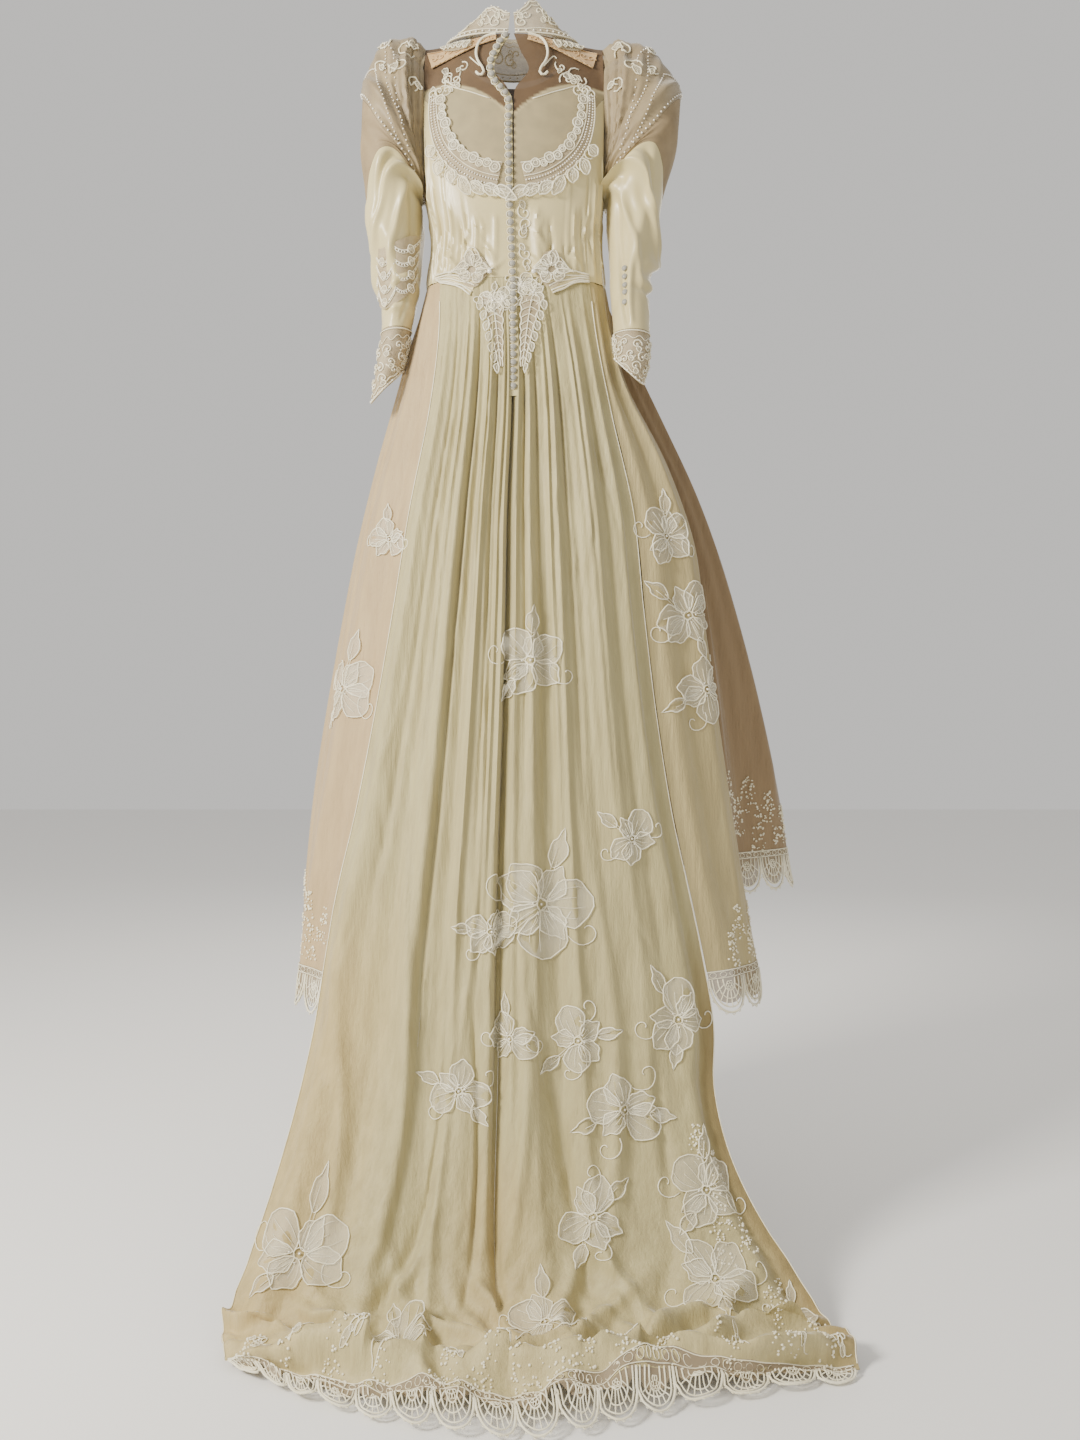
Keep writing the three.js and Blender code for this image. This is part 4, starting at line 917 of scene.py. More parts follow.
def petal(lace, spot, heading, length, width, cord=1.1, veins=4, away=0.12, lift=1.4, ruffle=0.05, point=0.0):
    """One stitched petal with a corded, ruffled edge and a few ribs."""
    turn = math.radians(heading)
    t = np.linspace(0, 1, 25)
    out = np.minimum(t, 1 - t) * 2
    along = away * length + length * (0.5 - 0.5 * np.cos(math.pi * out)) * (1 - away)
    tip = bell((t - 0.5) / 0.05)
    along = (along * (1 + ruffle * np.abs(np.sin(t * math.pi * 5)) * out * 1.6 - 0.08 * tip)
             + point * length * tip)
    off = (width * 0.5 * np.sin(2 * math.pi * t) * (0.75 + 0.35 * np.sin(math.pi * out) ** 2)
           * (1 + ruffle * np.sin(t * 44)))
    x, y = along * math.cos(turn) - off * math.sin(turn), along * math.sin(turn) + off * math.cos(turn)
    cup = lift + 2.2 * np.sin(math.pi * out) + 0.8 * np.sin(t * 37) * out
    lace.cord(rim_points(spot, x, y, cup), cord * MM)
    middle = spot(np.array([0.55 * length * math.cos(turn)]), np.array([0.55 * length * math.sin(turn)]),
                  lift + 0.4)[0]
    lace.web(rim_points(spot, x, y, cup - 0.3), middle)
    for k in range(veins):
        lean = (k - (veins - 1) / 2) * width * 0.24
        s = np.linspace(0.2, 0.66 + 0.2 * (k % 2), 6)
        a, o = s * length, lean * np.sin(s * 2.4)
        lace.cord(rim_points(spot, a * math.cos(turn) - o * math.sin(turn),
                             a * math.sin(turn) + o * math.cos(turn), np.full(6, lift + 1.0)),
                             cord * 0.45 * MM, sides=4)


def rim_points(spot, x, y, lift):
    flat = spot(x, y, 0.0)
    raised = spot(x, y, 1.0)
    return flat + (raised - flat) * np.asarray(lift)[..., None]


def flower(lace, cloth, u, v, size, turn=0.0, petals=6, leaves=2, pearls=5):
    """A blossom of uneven ruffled petals with a pearl eye, pointed leaves and tendrils."""
    spot = Spot(cloth, u, v, turn, size / 50)
    for k in range(petals):
        broad = 0.5 + 0.5 * math.sin(k * 2.6 + turn * 0.13)
        swing = 16 * math.sin(k * 2.3 + turn)
        petal(lace, spot, 360 * k / petals + swing, 34 + 20 * broad, 24 + 20 * broad,
              ruffle=0.05 + 0.05 * (1 - broad), point=0.16 * (1 - broad))
    for k in range(leaves):
        heading = turn * 0.5 + 150 * k + 55
        petal(lace, spot, heading, 70 - 8 * k, 17, veins=2, away=0.55, lift=0.8, point=0.15)
    for x0, y0, start, size_mm, hand in ((40, -34, 120, 14, 1), (-44, 30, 300, 12, -1)):
        x, y = curl(x0, y0, start, size_mm, 1.0, hand, 1.6)
        lace.cord(spot(x, y, 1.2), 1.0 * MM)
    ring = np.arange(12) * math.pi / 6
    lace.cord(spot(6 * np.cos(ring), 6 * np.sin(ring), 2.4), 1.0 * MM, closed=True)
    lace.bead(spot(np.array([0.0]), np.array([0.0]), 3.2)[0], 2.3 * MM)
    for k in range(pearls):
        a = 2 * math.pi * k / pearls + 0.3
        lace.bead(spot(np.array([10.5 * math.cos(a)]), np.array([10.5 * math.sin(a)]), 2.8)[0], 1.6 * MM)


def cluster(lace, cloth, u, v, wide, tall, number, turn=0.0):
    """A close spray of tiny embroidered blossoms that thins out towards its top."""
    spot = Spot(cloth, u, v, turn, 1)
    spread_out = dice.uniform(-1, 1, (number, 3))
    x = wide * 0.5 * spread_out[:, 0] * (1 - 0.35 * (spread_out[:, 1] + 1))
    y = tall * 0.5 * spread_out[:, 1]
    for place, size in zip(spot(x, y, 1.0), 1.9 + 0.7 * spread_out[:, 2]):
        lace.add(place + BEAD * size * MM, BEAD_FACES, 0)


def sprig(lace, cloth, u, v, size, turn=0.0):
    """A small five-petalled flower on a curved stem with two leaves."""
    spot = Spot(cloth, u, v, turn, size / 20)
    for k in range(5):
        a = 2 * math.pi * k / 5
        ring = np.arange(8) * math.pi / 4
        lace.cord(spot(8 * math.cos(a) + 4.6 * np.cos(ring), 8 * math.sin(a) + 4.6 * np.sin(ring), 1.4),
                  1.0 * MM, sides=4, closed=True)
    lace.bead(spot(np.array([0.0]), np.array([0.0]), 2.4)[0], 2.0 * MM)
    t = np.linspace(0, 1, 7)
    lace.cord(spot(6 + 22 * t, -8 - 10 * np.sin(t * 2.6), 1.2), 0.8 * MM, sides=4)
    petal(lace, spot, -60, 24, 9, cord=0.6, veins=0, away=0.4)
    petal(lace, spot, 150, 22, 8, cord=0.6, veins=0, away=0.4)


# ---------------------------------------------------------------- the hem laces
# Scalloped openwork lace along every hem: a beaded heading, then fans of round
# cells in corded arcs, with nothing behind them.
def hem_lace(name, cloth, u_range, v_range, scallops, nodes, backing=0.3, arc_lift=1.2):
    lace = Lacework()
    v0, deep = v_range[0], v_range[1] - v_range[0]

    def lay(s, t, radius, sides=4, lift=arc_lift, closed=False):
        u = u_range[0] + (u_range[1] - u_range[0]) * np.asarray(s) / scallops
        path = cloth.at(u, v0 + deep * np.asarray(t), lift * MM)
        path[..., 2] = np.maximum(path[..., 2], cad_box[0].z + radius * MM)
        lace.cord(path, radius * MM, sides=sides, closed=closed)
        return path
    for k in range(scallops):      # net behind the upper cells of each scallop
        s, reach = np.meshgrid(np.linspace(0, 1, 11), np.linspace(0, 1, 4))
        arch = 0.17 + (0.03 + 0.76 * backing) * np.sqrt(np.clip(1 - (2 * s - 1) ** 2 / max(backing,
            0.1) ** 0.3, 0, 1)) ** 0.8
        points = cloth.at(u_range[0] + (u_range[1] - u_range[0]) * (k + s) / scallops,
                          v0 + deep * arch * reach, 0.4 * MM)
        points[..., 2] = np.maximum(points[..., 2], cad_box[0].z + 0.5 * MM)
        q = np.arange(44).reshape(4, 11)
        lace.add(points.reshape(-1, 3), np.stack((q[:-1, :-1], q[1:, :-1], q[1:, 1:], q[:-1, 1:]),
                                                 axis=-1).reshape(-1, 4).tolist(), 3)
    across = np.linspace(0, scallops, scallops * 8 + 1)
    for t, radius in ((0.015, 1.0), (0.15, 0.9)):
        lay(across, np.full(len(across), t), radius)
    for k in range(scallops * 4):
        ring = np.arange(8) * math.pi / 4
        lay(k / 4 + 0.125 + 0.085 * np.cos(ring), 0.082 + 0.05 * np.sin(ring), 0.6, sides=4, closed=True)
    for k in range(scallops):
        arc = np.linspace(0, math.pi, 17)
        for reach, radius in ((1.0, 2.0), (0.84, 1.3), (0.58, 1.2), (0.32, 1.2)):
            low = 0.2 + 0.76 * reach
            lay(k + 0.5 - 0.5 * reach * np.cos(arc), 0.17 + (low - 0.17) * np.sin(arc) ** 0.8, radius)
        for spoke in range(1, 8):
            a = math.pi * spoke / 8
            r = np.linspace(0.32, 0.86, 5)
            lay(k + 0.5 - 0.5 * r * math.cos(a), 0.17 + (0.2 + 0.76 * r - 0.17) * math.sin(a) ** 0.8, 1.0,
                sides=4)
        for dot in range(6):
            ring = np.arange(6) * math.pi / 3
            lay(k + 0.5 + 0.07 * math.cos(dot * math.pi / 3) + 0.035 * np.cos(ring),
                0.32 + 0.065 * math.sin(dot * math.pi / 3) + 0.03 * np.sin(ring), 0.9, sides=4, closed=True)
        for bump in range(9):
            a = math.pi * (bump + 0.5) / 9
            ring = np.arange(6) * math.pi / 3
            s, t = k + 0.5 - 0.515 * math.cos(a), 0.17 + 0.82 * math.sin(a) ** 0.8
            lay(s + 0.035 * np.cos(ring), t + 0.03 * np.sin(ring), 0.7, sides=4, closed=True)
    piece = belongs(lace.piece(name), "lace", *nodes)
    return piece


HEM_V = (17 / 18 - 0.012, 1.0)
hem_pieces = {}
for k, gore in enumerate(GORES):
    hem_pieces[gore] = hem_lace("train_hem_lacework_" + gore, train, (k / 4, (k + 1) / 4), HEM_V, 4,
                                ["train_hem_lace_" + gore])
SKIRT_HEM_V = (10 / 11, 1.0)
hem_pieces["front"] = hem_lace("skirt_front_hem_lacework", front, (0, 1), SKIRT_HEM_V, 20,
                               ["skirt_front_hem_lace"], 0.86)
hem_pieces["side_left"] = hem_lace("skirt_side_hem_lacework_left", side_left, (0, 1), SKIRT_HEM_V, 5,
                                   ["skirt_side_left_hem_lace"], 0.72)
hem_pieces["godet"] = hem_lace("skirt_godet_hem_lacework_right", godet, (0, 1), SKIRT_HEM_V, 4,
                               ["skirt_godet_right_hem_lace"], 0.72)

# -------------------------------------------------------------- sewn-on flowers
# Lace blossoms scattered over the skirt, and bands of small sprigs that grow
# thicker towards each hem.
# u, v, size in mm, turn, petals, leaves
TRAIN_FLOWERS = (
    (0.580, 0.250, 58, 20, 6, 2), (0.870, 0.352, 46, 60, 5, 1), (0.613, 0.400, 82, 10, 7, 2),
    (0.465, 0.420, 44, 80, 5, 1),
    (0.915, 0.492, 60, 40, 6, 2), (0.695, 0.503, 50, 110, 5, 2), (0.532, 0.500, 44, 30, 5, 1),
    (0.388, 0.545, 48, 70, 5, 2),
    (0.792, 0.565, 62, 95, 5, 2), (0.095, 0.703, 74, 15, 6, 2), (0.918, 0.642, 60, 20, 6, 2),
    (0.870, 0.738, 64, 50, 6, 2),
    (0.955, 0.795, 36, 10, 5, 1), (0.310, 0.850, 60, 35, 6, 2), (0.578, 0.800, 52, 25, 5, 2),
    (0.700, 0.66, 56, 130, 5, 2))
lace = Lacework()
for u, v, size, turn, petals, leaves in TRAIN_FLOWERS:
    flower(lace, train, u, v, size, turn, petals, leaves)
# u, width and height in mm, number of blossoms in each spray over the hem
HEM_SPRAYS = ((0.05, 46, 60, 46), (0.13, 36, 44, 34), (0.21, 50, 64, 56), (0.30, 34, 46, 36),
              (0.40, 54, 80, 74), (0.455, 40, 64, 56), (0.52, 54, 84, 84),
              (0.565, 36, 50, 44), (0.61, 56, 86, 84), (0.67, 40, 56, 46), (0.75, 50, 56, 50),
              (0.83, 38, 60, 44), (0.90, 50, 70, 60), (0.96, 44, 70, 60))
for u, wide, tall, number in HEM_SPRAYS:
    cluster(lace, train, u, 0.915, wide, tall, number, 14 * math.sin(u * 40))
    sprig(lace, train, u + 0.02, 0.895, 15, 360 * u)
for u, v in ((0.93, 0.60), (0.955, 0.625), (0.925, 0.665), (0.95, 0.69), (0.90, 0.70), (0.96, 0.76),
             (0.93, 0.78), (0.97, 0.82), (0.92, 0.84), (0.96, 0.87)):
    cluster(lace, train, u, v, 40, 60, 40)
for edge in (-0.008, 1.006):
    t = np.linspace(0.02, 0.93, 220)
    lace.cord(train.at(np.full(220, edge), t, 0.8 * MM), 0.9 * MM, sides=6)
train_flowers = belongs(lace.piece("train_flowers"), "lace")
lace = Lacework()
flower(lace, side_left, 0.86, 0.360, 40, 30, 5, 1)
flower(lace, side_left, 0.72, 0.527, 66, 15, 6, 2)
for u, v in ((0.15, 0.82), (0.35, 0.80), (0.25, 0.86), (0.5, 0.85), (0.12, 0.89), (0.4, 0.89), (0.62, 0.88),
             (0.8, 0.87), (0.9, 0.84), (0.75, 0.82)):
    cluster(lace, side_left, u, v, 44, 60, 44)
side_flowers = belongs(lace.piece("skirt_side_flowers_left"), "lace")
lace = Lacework()
flower(lace, godet, 0.22, 0.357, 52, 20, 6, 1)
flower(lace, godet, 0.30, 0.445, 62, 60, 6, 2)
flower(lace, godet, 0.36, 0.527, 56, 100, 6, 1)
for u, v in ((0.9, 0.84), (0.7, 0.83), (0.5, 0.84), (0.85, 0.88), (0.62, 0.88), (0.4, 0.88), (0.2, 0.88),
             (0.75, 0.8), (0.3, 0.84)):
    cluster(lace, godet, u, v, 40, 60, 44)
godet_flowers = belongs(lace.piece("skirt_godet_flowers_right"), "lace")
lace = Lacework()
for k in range(14):
    cluster(lace, front, (k + 0.5) / 14, 0.875 - 0.02 * (k % 2), 50, 70, 46)
for u, v in ((0.90, 0.80), (0.93, 0.84), (0.87, 0.83), (0.95, 0.79), (0.84, 0.86)):
    cluster(lace, front, u, v, 50, 70, 50)
for u, v in ((0.2, 0.6), (0.45, 0.45), (0.55, 0.7), (0.75, 0.55), (0.35, 0.78), (0.68, 0.8)):
    flower(lace, front, u, v, 62, 200 * u, 6, 2)
front_flowers = belongs(lace.piece("skirt_front_flowers"), "lace")

# ---------------------------------------------------------------- back placket
# A narrow satin placket from the nape down past the waist, with small buttons
# covered in grey cream cloth. Each goes through a rouleau loop on the other side.
button_cloth = Finish("button_cloth", (0.42, 0.40, 0.35), Roughness=0.42, Sheen_Weight=0.4)
button_weave = button_cloth.noise(500, 3, 0.6)
button_cloth.set("Base Color", button_cloth.mix(button_cloth.between(button_weave, 0, 1),
                                                (0.36, 0.34, 0.29), (0.24, 0.23, 0.19)))
button_cloth.bump(button_weave, 0.3, 0.0006)
BUTTON_RADIUS, BUTTON_PITCH = 5.2 * MM, 13.6 * MM
bpy.ops.mesh.primitive_uv_sphere_add(segments=14, ring_count=8, radius=BUTTON_RADIUS)
button_form = bpy.context.object
bpy.ops.object.mode_set(mode="EDIT")
bpy.ops.mesh.select_all(action="SELECT")
bpy.ops.transform.resize(value=(1, 1, 0.62))
bpy.ops.object.mode_set(mode="OBJECT")
BUTTON_POINTS = np.array([v.co[:] for v in button_form.data.vertices])
BUTTON_FACES = [tuple(p.vertices) for p in button_form.data.polygons]
bpy.data.objects.remove(button_form)


def turned(points, normal):
    """A form made lying flat, stood so that its top faces along normal."""
    turn = Vector((0, 0, 1)).rotation_difference(Vector(normal)).to_matrix()
    return points @ np.array(turn).T


def spread(cloth, size=140):
    u, v = np.meshgrid(np.linspace(0, 1, size), np.linspace(0, 1, size))
    return u, v, cloth.at(u, v)


def find(cloth, x, z):
    """u and v of the point on the back of a cloth that lies at x and z, in mm."""
    if not hasattr(cloth, "spread"):
        cloth.spread = spread(cloth)
    u, v, points = cloth.spread
    off = (points[..., 0] - x * MM) ** 2 + (points[..., 2] - z * MM) ** 2 + np.maximum(points[...,
        1] - points[..., 1].mean(), 0)
    k = np.unravel_index(np.argmin(off), off.shape)
    return u[k], v[k]


def drawn(cloth, spots, lift=1.2, points_each=6):
    """A smooth path over a cloth through places given by x and z in mm."""
    uv = np.array([find(cloth, x, z) for x, z in spots])
    t = np.linspace(0, len(uv) - 1, (len(uv) - 1) * points_each + 1)
    k = np.clip(t.astype(int), 0, len(uv) - 2)
    f = (t - k)[:, None]
    tall = np.concatenate((2 * uv[:1] - uv[1:2], uv, 2 * uv[-1:] - uv[-2:-1]))
    a, b, c, d = tall[k], tall[k + 1], tall[k + 2], tall[k + 3]
    path = ((-f + 2 * f ** 2 - f ** 3) * a + (2 - 5 * f ** 2 + 3 * f ** 3) * b
            + (f + 4 * f ** 2 - 3 * f ** 3) * c + (f ** 3 - f ** 2) * d) / 2
    return cloth.at(path[:, 0], path[:, 1], lift * MM)


def face_of(cloth, u, v):
    here, across, down = cloth.slopes(np.array([u]), np.array([v]))
    return cloth.normal(across, down)[0]


strip = Cloth(outer_grid("button_strip"))
belongs(sew("placket_satin", strip, satin, 6, 240, thickness=0.8 * MM), "satin", "button_strip")
strip_points = spread(strip, 600)[2]
middle_line = strip_points[:, 300]
for group in ("keyhole", "bodice", "waist", "basque"):
    lo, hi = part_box("buttons_" + group)
    lace = Lacework()
    cover_points, cover_faces = [], []
    high, low = hi.z - BUTTON_RADIUS, lo.z + BUTTON_RADIUS
    rows = np.where((middle_line[:, 2] <= high + 1e-6) & (middle_line[:, 2] >= low - 1e-6))[0]
    run = np.concatenate(([0], np.cumsum(np.linalg.norm(np.diff(middle_line[rows], axis=0), axis=1))))
    number = int(round(run[-1] / BUTTON_PITCH)) + 1
    for k in range(number):
        row = rows[int(np.argmin(np.abs(run - run[-1] * k / max(number - 1, 1))))]
        v = row / 599
        normal = face_of(strip, 0.5, v)
        seat = strip.at(np.array([0.5]), np.array([v]), 3.2 * MM)[0]
        cover_faces += [tuple(i + len(cover_points) * len(BUTTON_POINTS) for i in f) for f in BUTTON_FACES]
        cover_points.append(seat + turned(BUTTON_POINTS, normal))
        ring = np.linspace(-2.3, 2.3, 10)
        u_loop, v_loop = 0.5 - 0.46 * np.cos(ring) - 0.12, v + 0.0068 * np.sin(ring) * 1.25
        lace.cord(strip.at(u_loop, v_loop, 1.2 * MM), 0.8 * MM, sides=5)
    buttons = new_piece("button_covers_" + group, np.concatenate(cover_points), cover_faces, [button_cloth])
    belongs(buttons, "covered_button", "buttons_" + group)
    belongs(lace.piece("button_loops_" + group), "satin")

# ------------------------------------------------------------- keyhole scrolls
# Satin rouleau cord bent into a scroll on each side of the keyhole opening.
for side in ("left", "right"):
    scroll = frame["nodes"]["keyhole_scroll_" + side]
    scroll.data.materials.clear()
    scroll.data.materials.append(thread.material)

# ------------------------------------------------------------------- the collar
# A stand collar of corded and beaded lace on net, with a scalloped top, lobes
# that lie over the shoulders, and peach lace strips out to the sleeve heads.
collar = Cloth(outer_grid("collar"), inside=(0, 0, 0.045))
belongs(sew("collar_net", collar, lace_net, 110, 16, thickness=0.5 * MM), "lace", "collar")
lace = Lacework()
t = np.linspace(0, 1, 241)
lace.cord(collar.at(t, 0.97 + 0 * t, 1 * MM), 1.5 * MM)
lace.cord(collar.at(t, 0.82 + 0 * t, 1 * MM), 1.0 * MM)
lace.cord(collar.at(t, 0.03 + 0.05 * np.abs(np.sin(t * math.pi * 26)), 0.6 * MM), 1.5 * MM)
lace.cord(collar.at(t, 0.14 + 0.05 * np.abs(np.sin(t * math.pi * 26)), 1 * MM), 0.8 * MM)
for k in range(52):
    lace.bead(collar.at(np.array([(k + 0.5) / 52]), np.array([0.895]), 1.6 * MM)[0], 1.9 * MM)
for k in range(26):
    lace.bead(collar.at(np.array([(k + 0.5) / 26]), np.array([0.0]), 1.0 * MM)[0], 1.6 * MM)
for k in range(15):
    spot = Spot(collar, (k + 0.5) / 15, 0.46, 0, 1)
    hand = 1 if k % 2 else -1
    x, y = curl(-5 * hand, -3, 90, 9.5, 1.25, hand, 1.15)
    lace.cord(spot(x, y, 1.2), 1.35 * MM)
    x, y = curl(6 * hand, 8, 200, 6.5, 1.0, -hand, 1.1)
    lace.cord(spot(x, y, 1.2), 1.1 * MM)
    petal(lace, spot, 90 + 30 * hand, 17, 8, cord=0.8, veins=1, away=0.2, lift=1.0)
    petal(lace, spot, -70 * hand - 20, 14, 7, cord=0.8, veins=1, away=0.2, lift=1.0)
belongs(lace.piece("collar_lacework"), "lace")
peach = Finish("peach_lace", (0.80, 0.60, 0.38), Roughness=0.6, Sheen_Weight=0.3)
peach_cloud = peach.noise(70, 3, 0.6)
peach.set("Base Color", peach.mix(peach.between(peach_cloud, 0, 1), (0.64, 0.43, 0.20), (0.48, 0.30, 0.13)))
peach.bump(peach_cloud, 0.4, 0.0012)
for side, out in (("left", -1), ("right", 1)):
    lobe = Cloth(outer_grid("collar_lobe_" + side))
    belongs(sew("collar_lobe_net_" + side, lobe, lace_net, 30, 10, thickness=0.5 * MM), "lace",
            "collar_lobe_" + side)
    lace = Lacework()
    t = np.linspace(0, 1, 41)
    lace.cord(lobe.at(t, 0.06 + 0 * t, 1 * MM), 1.2 * MM)
    for k in range(5):
        spot = Spot(lobe, 0.1 + 0.2 * k, 0.05, 0, 1)
        petal(lace, spot, -90 + 7 * (k - 2) * 1, 17 - abs(k - 2), 13, cord=1.1, veins=2, away=0.05, lift=1.2)
        lace.bead(spot(np.array([0.0]), np.array([-12.0]), 2.6)[0], 1.5 * MM)
    belongs(lace.piece("collar_lobe_lacework_" + side), "lace")
    ledge = Cloth(outer_grid("shoulder_strip_" + side))
    belongs(sew("shoulder_strip_lace_" + side, ledge, peach, 60, 14, thickness=0.7 * MM), "shoulder_lace",
            "shoulder_strip_" + side)
    lace = Lacework()
    t = np.linspace(0, 1, 121)
    lace.cord(ledge.at(t, 0.93 + 0.07 * np.abs(np.sin(t * math.pi * 13)), 0.8 * MM), 1.1 * MM)
    lace.cord(ledge.at(t, 0.05 + 0 * t, 0.8 * MM), 0.9 * MM)
    for k in range(8):
        spot = Spot(ledge, (k + 0.5) / 8, 0.5, 0, 1)
        x, y = curl(0, 0, 90 + 40 * k, 7, 1.1, 1 if k % 2 else -1, 1.1)
        lace.cord(spot(x, y, 0.9), 0.9 * MM)
    trims = lace.piece("shoulder_strip_cords_" + side)
    trims.data.materials[0] = peach.material
    belongs(trims, "shoulder_lace")

# --------------------------------------------------------- the neckline's border
# Corded lace along the lower edge of the yoke: two rows of pearls, round
# petals along the inside, curls at the tops and leaf scrolls at the foot.
for side, out in (("left", 0.0), ("right", 1.0)):
    border = Cloth(outer_grid("neckline_lace_" + side))
    sign = 1 if out == 0 else -1

    def rim(share, v):
        return out + sign * share * np.ones_like(v), v
    belongs(sew("neckline_net_" + side, border, lace_net, 14, 110, thickness=0.5 * MM), "lace",
            "neckline_lace_" + side)
    lace = Lacework()
    t = np.linspace(0, 1, 111)
    for share, radius in ((0.02, 1.3), (0.5, 0.9), (0.97, 0.8)):
        lace.cord(border.at(*rim(share, t), 1 * MM), radius * MM)
    for share in (0.17, 0.36):
        for k in range(44):
            v = np.array([(k + 0.5) / 44])
            lace.bead(border.at(*rim(share, v), 1.6 * MM)[0], 1.55 * MM)
    for k in range(13):
        spot = Spot(border, out + sign * (0.78 + 0.10 * (k % 2)), 0.05 + 0.9 * k / 12, 0,
                    (1.25, 0.8, 1.05)[k % 3])
        ring = np.arange(12) * math.pi / 6
        lace.cord(spot(7.2 * np.cos(ring), 7.2 * np.sin(ring), 1.2), 1.15 * MM, closed=True)
        lace.cord(spot(3.6 * np.cos(ring), 3.6 * np.sin(ring), 1.4), 0.8 * MM, closed=True)
        lace.web(spot(6.8 * np.cos(np.append(ring, 0)), 6.8 * np.sin(np.append(ring, 0)), 1.0),
                 spot(np.array([0.0]), np.array([0.0]), 1.4)[0])
    top = Spot(border, 0.5, 0.02, 0, 1)
    for x0, y0, size, hand in ((-9 * sign, 6, 9, sign), (6 * sign, 10, 7, -sign)):
        x, y = curl(x0, y0, -90, size, 1.3, hand, 1.2)
        lace.cord(top(x, y, 1.2), 1.2 * MM)
    for v, heading, length in ((0.42, -165, 22), (0.52, -150, 30), (0.62, -138, 26), (0.71, -125, 36),
                               (0.80, -112, 30), (0.88, -102, 40), (0.97, -90, 34)):
        spot = Spot(border, out + sign * 0.05, v, 0, 1)
        petal(lace, spot, heading if side == "left" else 180 - heading, length, 17, cord=1.2, veins=3,
              away=0.08)
        x, y = curl(-6 * sign, -10, heading if side == "left" else 180 - heading, 8, 1.2, sign, 1.2)
        lace.cord(spot(x, y, 1.6), 1.2 * MM)
    belongs(lace.piece("neckline_lacework_" + side), "lace")
    yoke_cloth = yokes[side]
    lace = Lacework()
    mirror = -1 if side == "left" else 1
    for x0, z0, size, start, hand in ((118, -52, 15, 40, 1), (96, -66, 12, 190, -1), (135, -74, 12, 90, 1),
                                      (112, -84, 9, 260, -1), (84, -44, 9, 120, 1), (138, -44, 9, 10, -1)):
        u, v = find(yoke_cloth, mirror * x0, z0)
        spot = Spot(yoke_cloth, u, v, 0, 1)
        x, y = curl(0, 0, start, size, 1.2, hand * mirror, 1.1)
        lace.cord(spot(x, y, 0.7), 1.3 * MM)
        petal(lace, spot, start + 120, size * 1.5, size * 0.7, cord=0.8, veins=1, away=0.3, lift=0.6)
    lace.cord(drawn(yoke_cloth, ((mirror * 86, -8), (mirror * 70, -26), (mirror * 54, -46)), 1.0), 1.2 * MM)
    lace.cord(drawn(yoke_cloth, ((mirror * 142, -76), (mirror * 116, -75), (mirror * 82, -88),
                                 (mirror * 36, -106)), 0.8), 1.0 * MM)
    swirls = lace.piece("yoke_swirls_" + side)
    belongs(swirls, "lace")

